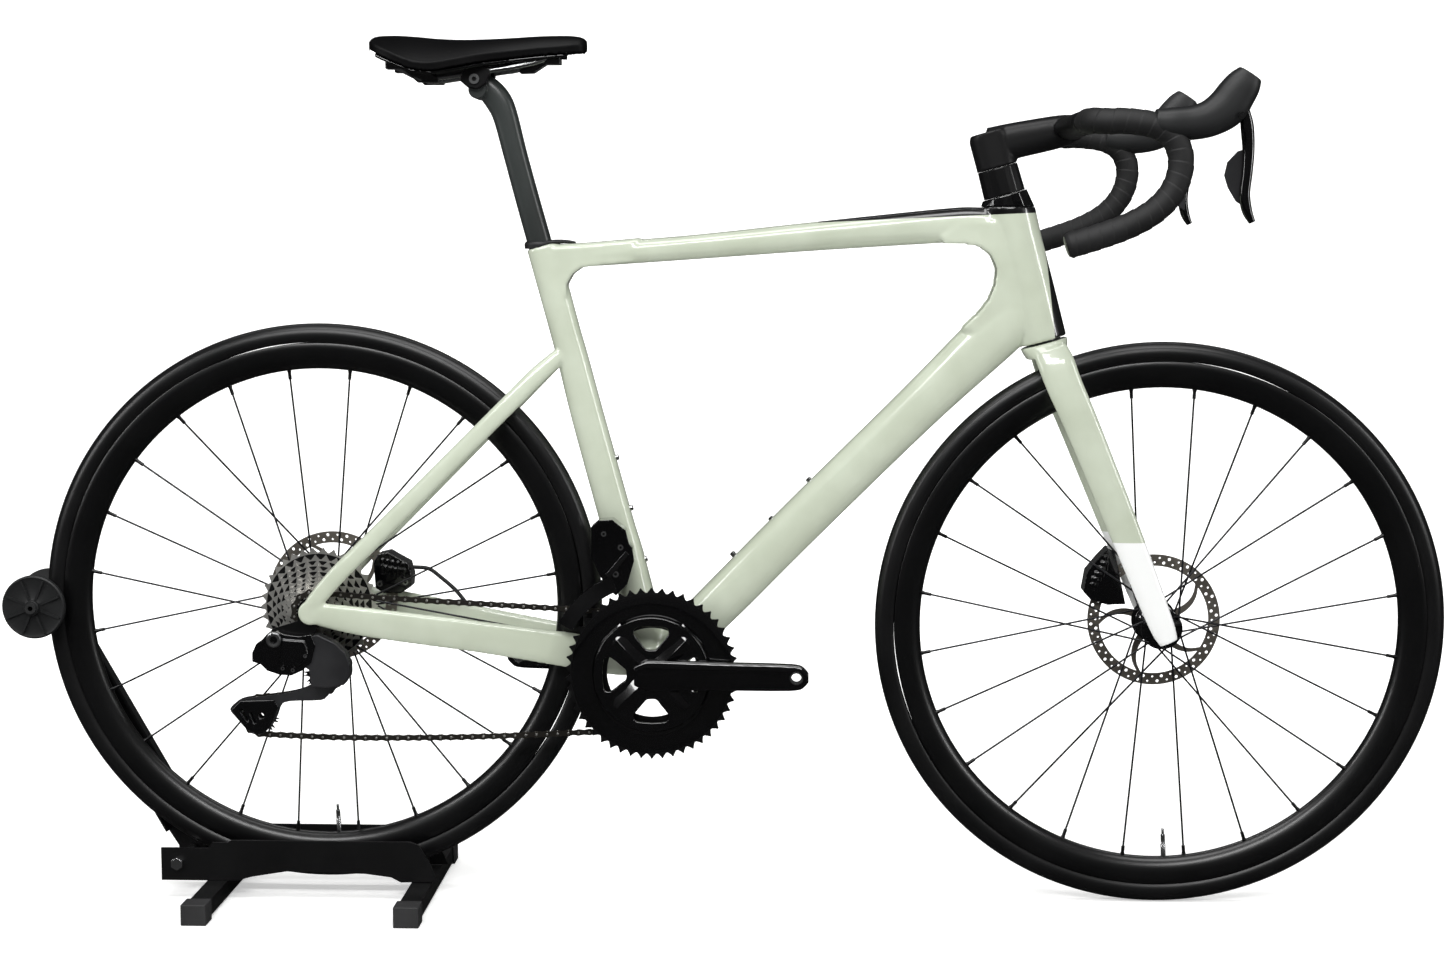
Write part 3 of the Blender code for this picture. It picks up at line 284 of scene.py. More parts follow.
def as_object(bm):
    """A scene object, in metres, from shapes drawn in the ruler's millimetres."""
    bmesh.ops.recalc_face_normals(bm, faces=bm.faces)
    bm.transform(TO_SCENE)
    mesh = bpy.data.meshes.new("drawn")
    bm.to_mesh(mesh)
    bm.free()
    made = bpy.data.objects.new("drawn", mesh)
    bpy.context.scene.collection.objects.link(made)
    return made


def settle(name, mesh, body, surface, replaces=(), sharp=40.0, bevel=0.0):
    """Names a finished mesh, gives it its material and lets it ride on a body."""
    mesh.name = name
    mesh.materials.clear()
    mesh.materials.append(surface)
    mesh.shade_smooth()
    if sharp:
        mesh.set_sharp_from_angle(angle=math.radians(sharp))
    made = bpy.data.objects.new(name, mesh)
    bpy.context.scene.collection.objects.link(made)
    if bevel:
        edge = made.modifiers.new("broken edges", "BEVEL")
        edge.width = bevel * MM
        edge.segments = 3
        edge.limit_method = "ANGLE"
        edge.angle_limit = math.radians(32)
        edge.harden_normals = True
    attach(made, body)
    if replaces:
        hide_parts(*replaces)
    print(f"{name}: {len(mesh.polygons)} faces, rides on {body}")
    return made


body_of = {node: body for body, nodes in frame["record"]["behaviour"]["bodies"].items() for node in nodes}


def drawn(name, bm, node, surface, replaces=True, sharp=40.0, bevel=0.0):
    """A piece drawn here that belongs with a solid: it rides on the same body and may stand for it."""
    made = as_object(bm)
    mesh = made.data
    bpy.data.objects.remove(made)
    stands_for = (node,) if replaces else ()
    return settle(name, mesh, body_of[node], surface, stands_for, sharp, bevel)


def soft_moulding(node, surface, voxel, passes):
    """A solid rebuilt as a moulded skin."""
    mesh = moulded(welded_copy(node), voxel, passes)
    return settle(f"{node}_skin", mesh, body_of[node], surface, (node,), sharp=0.0)


def broken_edges(node, surface, width):
    """A solid kept flat and crisp, with only its edges broken."""
    made = welded_copy(node)
    flat_faces = made.modifiers.new("whole faces", "DECIMATE")
    flat_faces.decimate_type = "DISSOLVE"
    flat_faces.angle_limit = math.radians(1.5)
    mesh = evaluated(made)
    return settle(f"{node}_skin", mesh, body_of[node], surface, (node,), 32.0, width)


# %% [markdown]
# # Surfaces
# A surface reads as real when it is a little uneven: sprayed paint has a faint orange peel, powder coat
# is pebbled, brushed steel is scratched one way. Each finish below is named for its real material and the
# way its surface was made. Colours are written as sRGB hex and turned into linear light by one function.
# Patterns are given by the real size of one grain in millimetres.

# %% Helpers for node materials


def linear(color):
    """Linear RGBA from an sRGB hex colour."""
    channels = [int(color[i:i + 2], 16) / 255 for i in (1, 3, 5)]
    return (*[c / 12.92 if c <= 0.04045 else ((c + 0.055) / 1.055) ** 2.4 for c in channels], 1.0)


def add(tree, kind, inputs=None, **settings):
    """Adds a node, sets its options, and fills its sockets with values or with other nodes' outputs."""
    made = tree.nodes.new(f"ShaderNode{kind}")
    for key, value in settings.items():
        setattr(made, key, value)
    for key, value in (inputs or {}).items():
        if isinstance(value, bpy.types.NodeSocket):
            tree.links.new(value, made.inputs[key])
        else:
            made.inputs[key].default_value = value
    return made


def grains_per_metre(size_mm):
    """Texture scale, in grains per metre, for a grain of this size."""
    return 1 / (size_mm * MM)


def finish(
    name, dark, light, roughness, grain_mm=0.5, bump_mm=0.0, spread=0.04, stretch=(1, 1, 1), **sockets,
):
    """A material whose colour and roughness drift between two values with a noise of a real grain size."""
    made = bpy.data.materials.new(name)
    made.use_nodes = True
    tree = made.node_tree
    shader = tree.nodes["Principled BSDF"]
    place = add(tree, "TexCoord")
    run = add(tree, "Mapping", {"Vector": place.outputs["Object"], "Scale": stretch})
    drift = add(tree, "TexNoise", {
        "Vector": run.outputs["Vector"], "Scale": grains_per_metre(60), "Detail": 3.0,
    })
    grain = add(tree, "TexNoise", {
        "Vector": run.outputs["Vector"], "Scale": grains_per_metre(grain_mm), "Detail": 2.0,
    })
    color = add(tree, "ValToRGB", {"Fac": drift.outputs["Fac"]})
    color.color_ramp.elements[0].position, color.color_ramp.elements[1].position = 0.35, 0.65
    color.color_ramp.elements[0].color, color.color_ramp.elements[1].color = linear(dark), linear(light)
    rough = add(tree, "MapRange", {
        "Value": grain.outputs["Fac"], "To Min": max(roughness - spread, 0.02), "To Max": roughness + spread,
    })
    tree.links.new(color.outputs["Color"], shader.inputs["Base Color"])
    tree.links.new(rough.outputs["Result"], shader.inputs["Roughness"])
    if bump_mm:
        relief = add(tree, "Bump", {
            "Height": grain.outputs["Fac"], "Distance": bump_mm * MM, "Strength": 1.0,
        })
        tree.links.new(relief.outputs["Normal"], shader.inputs["Normal"])
    for key, value in sockets.items():
        shader.inputs[key.replace("_", " ")].default_value = value
    return made


def painted_where(material, planes, color):
    """A second colour, masked onto a finish where a point lies past every plane (x, y, z, millimetres)."""
    tree = material.node_tree
    base = tree.nodes["Principled BSDF"].inputs["Base Color"]
    place = next(n for n in tree.nodes if n.bl_idname == "ShaderNodeTexCoord").outputs["Object"]
    inside = None
    for *normal, edge_mm in planes:
        offset = normal[0] * REAR_X
        depth = add(tree, "VectorMath", {0: place, 1: Vector(normal)}, operation="DOT_PRODUCT")
        past = add(tree, "Math", {
            0: depth.outputs["Value"], 1: edge_mm * MM + offset,
        }, operation="GREATER_THAN")
        if inside is None:
            inside = past
        else:
            inside = add(tree, "Math", {
                0: inside.outputs["Value"], 1: past.outputs["Value"],
            }, operation="MULTIPLY")
    both = add(tree, "Mix", {
        0: inside.outputs["Value"], 6: base.links[0].from_socket, 7: linear(color),
    }, data_type="RGBA")
    tree.links.new(both.outputs[2], base)


# %% [markdown]
# ## The finishes
# Sprayed lacquers get a clear coat over them. Metals keep the shader's own index of refraction; plastics,
# rubber and lacquer sit near 1.5.

# %% The palette
# Sprayed paint under clear coat: a soft colour with a sharp highlight lying over it, and faint
# orange peel with waves about a millimetre wide.
sage_lacquer = finish("sage lacquer, sprayed and polished", "#c2cab6", "#ccd4c1", 0.30, 0.9, 0.004,
                      Coat_Weight=1.0, Coat_Roughness=0.04)
# The same lacquer on the fork, kept apart because its lower half is masked in white.
fork_lacquer = finish("sage and white lacquer, masked and polished", "#c2cab6", "#ccd4c1", 0.30, 0.9, 0.004,
                      Coat_Weight=1.0, Coat_Roughness=0.04)
# Anodising keeps the fine grain of the machined metal, so highlights are broad and a little grey.
satin_black = finish("black anodised aluminium, satin", "#070708", "#0b0b0c", 0.30, 0.4, 0.004)
# Composite with matting agent in its lacquer: the form reads from soft shading alone.
matte_black = finish("black composite, matte lacquer", "#0b0b0c", "#101011", 0.42, 0.6, 0.006,
                     Specular_IOR_Level=0.35)
# Lacquer polished over black: the surface is seen only by the lamps that it mirrors.
gloss_black = finish("black aluminium, polished lacquer", "#020203", "#040405", 0.14, 1.5, 0.0,
                     Coat_Weight=1.0, Coat_Roughness=0.03)
# Baked powder flows out to a fine pebble that breaks up the edge of a highlight.
powder_black = finish("black powder coat on folded steel", "#0a0a0b", "#0f0f10", 0.36, 0.7, 0.035,
                      spread=0.06)
# A moulded rim, cleaner than the tyre and with a thin shine that follows its curve.
rim_black = finish("black composite rim, satin lacquer", "#040405", "#080809", 0.30, 2.0, 0.004,
                   Coat_Weight=0.25, Coat_Roughness=0.2)
# Rubber keeps the mould's fine texture, and its bloom makes the shine patchy. The grain is drawn
# at a third of a millimetre, coarser than the real one, so that it shows.
tyre_rubber = finish("vulcanised black rubber", "#0a0a0b", "#101011", 0.34, 0.35, 0.015, spread=0.08)
# Grip rubber is softer and duller than a tyre and hardly mirrors anything.
soft_rubber = finish("black moulded grip rubber", "#121314", "#191a1b", 0.50, 0.25, 0.015)
# Polypropylene with a spark-eroded grain: pale, even and waxy.
cap_plastic = finish("grey moulded polypropylene", "#2a2a2b", "#333334", 0.58, 0.5, 0.02)
# The grain runs up the post, as the fibres do, and gives it long faint streaks.
dark_carbon = finish("dark grey composite, satin lacquer", "#292c2b", "#343837", 0.34, 1.2, 0.004,
                     stretch=(1, 1, 0.3), Coat_Weight=0.3, Coat_Roughness=0.2)
# Pressed microfibre: almost no mirror shine, and a nap that scatters light at the edges.
saddle_cover = finish("black microfibre, heat-pressed", "#040405", "#070708", 0.46, 0.3, 0.015, spread=0.06,
                      Specular_IOR_Level=0.16)
# Turned and barrel-polished screws and wire, the brightest points on the bicycle.
bright_steel = finish("bright turned steel", "#b9babb", "#d2d3d4", 0.24, 0.3, 0.004, Metallic=1.0)
# Plated sprockets are bright but oiled and worn, so that the shine changes from tooth to tooth.
nickel = finish("nickel-plated sprocket steel", "#cfcec9", "#f4f2ec", 0.44, 0.8, 0.05, spread=0.14,
                Metallic=1.0)
# Side plates stay dark between their bright pins.
chain_steel = finish("dark plated chain steel", "#55524d", "#6f6b64", 0.38, 0.4, 0.01, Metallic=1.0)
# Pins and rollers are polished by use.
roller_steel = finish("polished chain pins and rollers", "#d2d0ca", "#efede8", 0.34, 0.3, 0.0, Metallic=1.0)
# A ground face: many fine scratches spread the highlight into a brown-grey glow.
rotor_steel = finish("ground rotor steel", "#9b958c", "#b7b0a5", 0.44, 0.25, 0.012, Metallic=1.0)
# Oxidised wire, dark all round with a thin line of light along it.
spoke_steel = finish("dark oxidised spoke steel", "#2c2c2e", "#404043", 0.34, 0.3, 0.0, Metallic=0.8)
# Chrome over a dark base, sharp but smoky.
dark_chrome = finish("dark chromed cage steel", "#5a5a5c", "#79797b", 0.20, 0.4, 0.0, Metallic=1.0)
# A lighter anodising, which sets the cage and the paddles off from the black parts.
grey_satin = finish("grey anodised aluminium, satin", "#2c2c2e", "#3a3a3c", 0.34, 0.4, 0.004, Metallic=0.4)
# Tape has a pebbled, felt-like face that stays dull along each wound edge.
tape_cover = finish("black microfibre bar tape", "#101011", "#1b1b1c", 0.66, 0.5, 0.06, spread=0.1)
print(len([m for m in bpy.data.materials if m.use_nodes]), "finishes")

# %% [markdown]
# ### Masked colours
# The frame is sage with a black flash along the top tube and down the front of the head tube. The fork is
# sage at its crown and white from half way down. A painter masks such edges with tape, so they are sharp:
# a plane through the piece decides which side of it takes the second colour.

# %% White fork legs, black flashes
WHITE_FROM = 445.0
painted_where(fork_lacquer, [(0, 0, -1, -WHITE_FROM)], "#fbfcfb")
FLASH_LINE = (-0.0445, 0, 0.999)
painted_where(sage_lacquer, [(*FLASH_LINE, 790.6), (1, 0, 0, 598)], "#060607")
painted_where(sage_lacquer, [(0.994, 0, 0.107, 944.8), (-0.05, 0, 1, 500)], "#060607")

# %% [markdown]
# # Wheels
# A road wheel is a stack of rings round one axle: tyre, rim, spokes under tension, hub and brake rotor.
# All of them are turned from a profile, apart from the spokes and the holes in the rotor.

# %% Plates with holes


def circle(center, radius, count=24):
    return arc(center, radius, 0, 360 - 360 / count, count)


def pierced(outline, holes, y_low, y_high):
    """A flat plate with holes: the outlines are filled as one drawing and the face is thickened."""
    bm = bmesh.new()
    for loop in (outline, *holes):
        verts = [bm.verts.new(point(p, y_low)) for p in loop]
        for a, b in zip(verts, [*verts[1:], verts[0]]):
            bm.edges.new((a, b))
    bmesh.ops.triangle_fill(bm, use_beauty=True, use_dissolve=False, edges=bm.edges[:], normal=(0, 1, 0))
    made = bmesh.ops.extrude_face_region(bm, geom=bm.faces[:])
    moved = [v for v in made["geom"] if isinstance(v, bmesh.types.BMVert)]
    bmesh.ops.translate(bm, verts=moved, vec=(0, y_high - y_low, 0))
    return bm


# %% [markdown]
# ### Tyre and rim
# The tyre is a moulded carcass with a fine line where the tread cap meets the sidewall. The rim is a
# deep, rounded box laid up in composite: its two sides lean in to a blunt nose where the spokes enter.

# %% Tyre and rim profiles
TYRE_CENTER = 325.0
RIM_NOSE = 284.6


def tyre_profile():
    rows = []
    for i in range(41):
        angle = math.radians(-38 + 256 * i / 40)
        bulge = 13.75 + 0.25 * math.cos(2 * (angle - math.pi / 2))
        ridge = 0.22 if i in (11, 29) else 0.0
        rows.append((TYRE_CENTER + (bulge + ridge) * math.sin(angle), (bulge + ridge) * math.cos(angle)))
    inner = [
        (TYRE_CENTER + 11.5 * math.sin(a), 11.5 * math.cos(a))
        for a in (math.radians(218 - 256 * i / 8) for i in range(9))
    ]
    return [*rows, *inner]


def rim_profile():
    side = (
        (315.7, 12.3), (315.0, 12.8), (309, 12.8), (303, 12.4), (297, 11.3), (292, 9.2), (288.2, 6.4),
        (285.8, 3.6),
    )
    inner = ((315.7, 10.8), (296, 9.2), (289, 0), (296, -9.2), (315.7, -10.8))
    return [*side, (RIM_NOSE, 1.2), (RIM_NOSE, -1.2), *[(r, -y) for r, y in side[::-1]], *inner[::-1]]


# %% [markdown]
# ### Spokes
# Twenty-four round steel spokes cross each other on their way to the hub, so that they can pull the hub
# round as well as hold it up. Each ends in a small nipple just inside the rim.

# %% Spokes and nipples
SPOKES = 24
SPOKE_LEAN = math.radians(52)


def spoke_lines(center, flanges):
    lines = []
    for i in range(SPOKES):
        flange_y, flange_r = flanges[i % 2]
        at_rim = 2 * math.pi * (i + 0.5) / SPOKES
        at_hub = at_rim + SPOKE_LEAN * (1 if (i // 2) % 2 else -1)
        start = point(center, flange_y) + Vector((math.cos(at_hub), 0, math.sin(at_hub))) * flange_r
        rim_y = 1.2 * math.copysign(1, flange_y)
        end = point(center, rim_y) + Vector((math.cos(at_rim), 0, math.sin(at_rim))) * (RIM_NOSE + 1)
        lines.append((start, end))
    return lines


def spokes_and_nipples(center, flanges):
    spokes, nipples = [], []
    for start, end in spoke_lines(center, flanges):
        run = (end - start).normalized()
        spokes.append(round_tube([start, (start + end) / 2, end], 1.2, 10))
        heads = [end - run * d for d in (12, 11.5, 4, 1.5, 0)]
        nipples.append(round_tube(heads, [1.4, 2.1, 2.1, 2.6, 2.8], 10))
    return gathered(spokes), gathered(nipples)


# %% [markdown]
# ### Brake rotor
# A rotor is stamped from steel sheet. Rows of round holes shed heat and water, and five swept arms carry
# the braking ring on the hub.

# %% Rotor ring, arms and carrier
ROTOR_OUTER, ROTOR_INNER = 80.0, 66.0


def rotor_parts(center, y):
    holes = []
    for i in range(40):
        middle = 360 * i / 40
        for row, radius in enumerate((70.2, 75.8)):
            turn = math.radians(middle + (4.5 if row else 0))
            spot = (center[0] + radius * math.cos(turn), center[1] + radius * math.sin(turn))
            holes.append(circle(spot, 1.9 if (i + row) % 2 else 1.3, 12))
    ring = pierced(
        circle(center, ROTOR_OUTER, 120), [circle(center, ROTOR_INNER, 120), *holes], y - 0.9, y + 0.9,
    )
    arms = []
    for i in range(5):
        base = 72 * (i + 0.25)
        path = []
        for t in (0, 0.2, 0.4, 0.6, 0.8, 1):
            turn = math.radians(base + 22 * t * t)
            radius = 22 + 45 * t
            path.append(point((center[0] + radius * math.cos(turn), center[1] + radius * math.sin(turn)), y))
        for side in (-1, 1):
            edge = []
            for k, spot in enumerate(curve_through(path, 3)):
                out = (spot - point(center, y)).normalized()
                across = SIDEWAYS.cross(out)
                edge.append(spot + across * side * (4.6 - 0.13 * k))
            arms.append(edge)
    shapes = []
    for left, right in zip(arms[::2], arms[1::2]):
        shapes.append(plate([(p.x, p.z) for p in [*left, *right[::-1]]], y - 0.8, y + 0.8))
    carrier = [
        (15.5, y - 1.4), (15.5, y + 1.4), (20, y + 2.2), (25.5, y + 1.8), (27, y + 0.8), (27, y - 0.8),
        (25.5, y - 1.4),
    ]
    return gathered([ring, *shapes]), turned(carrier, center, 60)


# %% [markdown]
# ### Hub
# The hub shell is turned aluminium: a waist between two flanges, and a splined seat for the rotor. The
# flanges carry a row of small holes where the spokes hook in, seen here as the spokes' own ends.

# %% Hub profile


def hub_profile(end, left, right, bore, right_core, rotor_y):
    return [
        (bore, -end), (right_core - 0.6, -end), (right_core, -end + 0.6), (right_core, -right - 5),
        (right_core + 2, -right - 3), (23.6, -right - 1.5), (24.5, -right - 0.8), (24.5, -right + 0.8),
        (23.6, -right + 1.5), (16, -right + 5), (13.6, -right + 10), (13, -right / 3), (13, left / 3),
        (13.6, left - 10), (16, left - 5), (23.6, left - 1.5), (24.5, left - 0.8), (24.5, left + 0.8),
        (23.6, left + 1.5), (15.5, left + 5), (14.9, left + 6), (14.9, rotor_y + 2.6),
        (14.3, rotor_y + 3.2), (11, rotor_y + 4), (11, end - 0.6), (10.4, end), (bore, end),
    ]


# %% [markdown]
# ### Both wheels
# The same functions make both wheels; only the flange places, the hub length and the rotor's place
# differ. The valve is the one thing on a rim that isn't round: it breaks the symmetry and makes the
# wheel's turning visible.

# %% Build the wheels


def build_wheel(prefix, center, flanges, hub, rotor_y, valve_deg):
    drawn(f"{prefix}_tyre_skin", turned(tyre_profile(), center, 180), f"{prefix}_tyre", tyre_rubber, sharp=60)
    drawn(f"{prefix}_rim_skin", turned(rim_profile(), center, 180), f"{prefix}_rim", rim_black, sharp=50)
    spokes, nipples = spokes_and_nipples(center, flanges)
    drawn(f"{prefix}_spoke_set", spokes, f"{prefix}_spokes", spoke_steel)
    drawn(f"{prefix}_nipples", nipples, f"{prefix}_spokes", satin_black, replaces=False)
    drawn(f"{prefix}_hub_shell", turned(hub, center, 72), f"{prefix}_hub", gloss_black)
    ring, carrier = rotor_parts(center, rotor_y)
    drawn(f"{prefix}_rotor_ring", ring, f"{prefix}_rotor", rotor_steel, sharp=30)
    drawn(f"{prefix}_rotor_carrier", carrier, f"{prefix}_rotor", satin_black, replaces=False)
    turn = math.radians(valve_deg)
    out = Vector((math.cos(turn), 0, math.sin(turn)))
    stem = [point(center) + out * r for r in (286, 270, 269.5, 262, 258, 257.5, 251, 250)]
    drawn(f"{prefix}_valve", round_tube(stem, [3.0, 3.0, 2.6, 2.6, 2.6, 1.6, 1.6, 1.0], 16), f"{prefix}_rim",
          bright_steel, replaces=False)


FRONT_ROTOR_Y, REAR_ROTOR_Y = 35.0, 55.8
AXLE_BORE = 6.3
build_wheel("front", front_axle, ((23.5, 22), (-34.5, 22)),
            hub_profile(50, 20, 31, AXLE_BORE, 10, FRONT_ROTOR_Y), FRONT_ROTOR_Y, -87.5)
build_wheel("rear", rear_axle, ((38.5, 22), (-20.5, 22)),
            hub_profile(71, 35, 17, AXLE_BORE, 17, REAR_ROTOR_Y), REAR_ROTOR_Y, -87.3)
print("two wheels,", SPOKES, "spokes each")

# %% [markdown]
# # Frame and fork
# The frame is laid up in moulds from carbon cloth and joined wet, so there are no lugs or weld beads:
# each tube flows into the next. Here every tube is a row of shaped sections, the tubes are put into one
# mesh, and the moulding step melts them together.

# %% Frame tubes


def level_section(z, half_depth, half_width, count=40):
    """A level oval round the steering axis at height z."""
    rise = (z - crown.z) / steering_up.z
    return oval(along_steering(rise), Vector((1, 0, 0)), SIDEWAYS, half_depth, half_width, count)


down_tube = [
    (846, 0, 722, 24, 18), (818, 0, 697, 32, 21), (717, 0, 599, 28, 23), (580, 0, 463, 27.5, 24),
    (480, 0, 361, 27, 28), (402, 0, 284, 24, 31),
]
top_tube = [
    (272, 0, 775, 11, 11), (330, 0, 780, 13.5, 15), (455, 0, 789.5, 14.5, 17), (596, 0, 802, 17, 18),
    (742, 0, 814, 20, 19), (785, 0, 816, 20, 19), (822, 0, 814, 18, 17),
]
seat_tube = [
    (270, 0, 790, 18.5, 16), (295, 0, 696, 18, 16), (306, 0, 655, 18.5, 16), (324, 0, 584, 19.5, 16),
    (357, 0, 462, 20, 17), (371, 0, 411, 21, 21), (400, 0, 290, 22, 30),
]


def seat_stay(sign):
    rows = (
        (304, 6, 672, 8, 5), (268, 17, 640, 10.5, 7), (240, 26, 612, 10.6, 6.5),
        (215, 31, 587, 10.6, 6.5), (150, 43, 522, 10.6, 6.5), (70, 62, 442, 10.6, 6.5),
        (34, 72.5, 406, 10.6, 6), (8, 76, 376, 10, 5.5), (-2, 76, 363, 8, 5.2),
    )
    return [(x, sign * y, z, depth, width) for x, y, z, depth, width in rows]


def chain_stay(sign):
    rows = (
        (390, 22, 290, 14, 8), (355, 26, 298, 20, 7), (320, 27.5, 305, 21, 6.5), (290, 29, 310, 21, 6.5),
        (200, 45, 326, 19, 6.5), (103, 66, 342, 18, 6), (60, 73, 349, 17, 6), (25, 76, 355, 15, 5.5),
        (0, 76, 359.3, 12, 5.2),
    )
    return [(x, sign * y, z, depth, width) for x, y, z, depth, width in rows]


head_tube = skin([
    oval(along_steering(0), steering_forward, SIDEWAYS, 28, 24),
    oval(along_steering(60), steering_forward, SIDEWAYS, 29, 22),
    oval(along_steering(120), steering_forward, SIDEWAYS, 29.5, 22), level_section(836, 32, 23),
])
tubes = [head_tube, shaped_tube(down_tube), shaped_tube(top_tube), shaped_tube(seat_tube)]
tubes.append(rod(crank_axle, 25, -34, 34, 48))
for sign in (-1, 1):
    tubes.append(shaped_tube(seat_stay(sign), 32))
    tubes.append(shaped_tube(chain_stay(sign), 32))
    low, high = sorted((sign * 71.3, sign * 81))
    tubes.append(rod(rear_axle, 14, low, high, 40))
print(len(tubes), "tubes and bosses")

# %% [markdown]
# ### Filled corners
# A moulded frame has no sharp inside corner: cloth can't be pressed into one, so the mould has a web
# there with a generous curve. Relaxing the net gives only a small fillet, so the two large corners,
# behind the head tube and under the seat clamp, get a web of their own, drawn from its outline seen from
# the side.

# %% Webs, and the frame in one skin


def web(outline, half):
    """A filled corner between tubes, full in the middle and drawn in a little at both faces."""
    x0 = sum(x for x, _ in outline) / len(outline)
    z0 = sum(z for _, z in outline) / len(outline)
    rings = []
    for share, size in ((1.0, 0.84), (0.88, 0.92), (0.65, 0.98), (0.3, 1.0)):
        rings.append((-half * share, size))
    rings = [*rings, *[(-y, size) for y, size in rings[::-1]]]
    rings = [
        [point((x0 + (x - x0) * size, z0 + (z - z0) * size), y) for x, z in outline] for y, size in rings
    ]
    return skin(rings)


head_corner = [
    (735, 808), (741, 797), (770, 796.3), (788, 792.8), (802, 782.3), (809.4, 764.8), (808.4, 744.9),
    (800.5, 724.9), (786.6, 706.1), (766, 687.2), (812, 655), (856, 705), (836, 800), (812, 828),
    (760, 828),
]
seat_corner = [
    (285, 716), (297.9, 726.7), (299.3, 744.4), (306.5, 757.4), (318.5, 765.7), (340, 768.5), (387, 773),
    (387, 800), (330, 795), (262, 791), (268, 760), (276, 730),
]
tubes += [web(head_corner, 19.6), web(seat_corner, 15.0)]
frame_mesh = moulded(as_object(gathered(tubes)), 2.0, 22)
settle("frame_skin", frame_mesh, body_of["frame"], sage_lacquer, ("frame",), sharp=0)

# %% [markdown]
# ### Fork
# The fork is one moulding too: a crown that swells out under the head tube and two blades that bow
# slightly forward and thin towards the axle.

# %% Fork
crown_rings = [
    oval(along_steering(s), steering_forward, SIDEWAYS, depth, width, 40, 2.4)
    for s, depth, width in ((-2.6, 28, 26), (-9, 27, 32), (-17, 24, 36))
]
blade = (
    (870, 27, 670, 20, 7), (878, 33, 652, 21.5, 9), (887, 38, 628, 21, 8.5), (911, 44, 573, 20, 8),
    (963, 51, 447, 18, 7), (1001, 56.5, 352, 15, 6), (1012, 57, 327, 11, 6),
)
fork_shapes = [skin(crown_rings)]
for sign in (-1, 1):
    rows = [(x, sign * y, z, depth, width) for x, y, z, depth, width in blade]
    fork_shapes.append(shaped_tube(rows, 36, 2.2))
fork_mesh = moulded(as_object(gathered(fork_shapes)), 1.6, 16)
settle("fork_skin", fork_mesh, body_of["fork"], fork_lacquer, ("fork",), sharp=0)

# %% [markdown]
# ### Headset, seat clamp and small fittings
# These are machined or moulded parts that keep their own outlines. Flat ones only need their edges
# broken; soft ones go through the moulding step with a finer net.

# %% Small parts of the frame
soft_moulding("headset_cover", gloss_black, 0.9, 8)
soft_moulding("steerer_spacer", satin_black, 0.9, 8)
collar_rings = []
for (x, z), depth, width in (
    ((266.5, 787), 17.5, 14.5), ((266.5, 792.5), 17.8, 14.8), ((267, 795.5), 16.8, 13.8),
):
    collar_rings.append(oval(Vector((x, 0, z)), Vector((1, 0, 0)), SIDEWAYS, depth, width, 48))
tail = [
    (276, 0, 794.5, 3.0, 12.5), (290, 0, 795.6, 2.6, 10), (302, 0, 795.4, 2.0, 7),
    (310, 0, 794.6, 1.2, 3),
]
collar_mesh = moulded(as_object(gathered([skin(collar_rings), shaped_tube(tail, 32, 2.2)])), 0.6, 8)
settle("seatpost_collar", collar_mesh, "bicycle", soft_rubber,
       ("seatpost_cover",), sharp=0)
for node in ("derailleur_hanger", "rear_axle", "front_axle"):
    broken_edges(node, satin_black, 0.5)
broken_edges("headset_bearing_lower", grey_satin, 0.5)
cups = [
    (12.3, -42), (21.7, -42), (22.5, -41.2), (22.5, -34.3), (20.5, -34), (20.5, 34), (22.5, 34.3),
    (22.5, 41.2), (21.7, 42), (12.3, 42),
]
drawn("bottom_bracket_cups", turned(cups, crank_axle, 72), "bottom_bracket", satin_black)
hose = [Vector(p) for p in (
    (99, 64, 394), (118, 63, 392), (134, 61, 381), (150, 58, 368), (160, 56, 357), (172, 53, 342),
)]
drawn("rear_hose_skin", round_tube(curve_through(hose, 8), 2.5, 20), "rear_brake_hose", soft_rubber)

# %% [markdown]
# ### Brake calipers
# A caliper is a forged block split by the rotor, with a row of cooling ribs on its outer face and two
# bolts.

# %% Calipers


def socket_bolt(center, y, out, radius=3.2, height=1.6):
    """A round bolt head with a hexagon socket, standing off a face towards out (-1 or +1)."""
    low, high = sorted((y, y + out * height))
    hexagon = [(center[0] + radius * 0.5 * math.cos(a), center[1] + radius * 0.5 * math.sin(a))
               for a in (math.radians(60 * k) for k in range(6))]
    return pierced(circle(center, radius, 28), [hexagon], low, high)


def ribbed_caliper(outline, y_low, y_high, rib_from, rib_to, ribs):
    """A block, and ribs standing off its right side between two places; the moulding step after it softens
    the edges.
    """
    parts = [plate(outline, y_low, y_high)]
    for k in range(ribs):
        share = (k + 0.5) / ribs
        x, z = (a + (b - a) * share for a, b in zip(rib_from, rib_to))
        parts.append(rod((x, z), 2.6, y_low - 2.6, y_low + 2, 20))
        corners = [(x - 1.3, z - 9), (x + 1.3, z - 9), (x + 1.3, z + 9), (x - 1.3, z + 9)]
        parts.append(plate(corners, y_low - 2, y_low + 2))
    return gathered(parts)


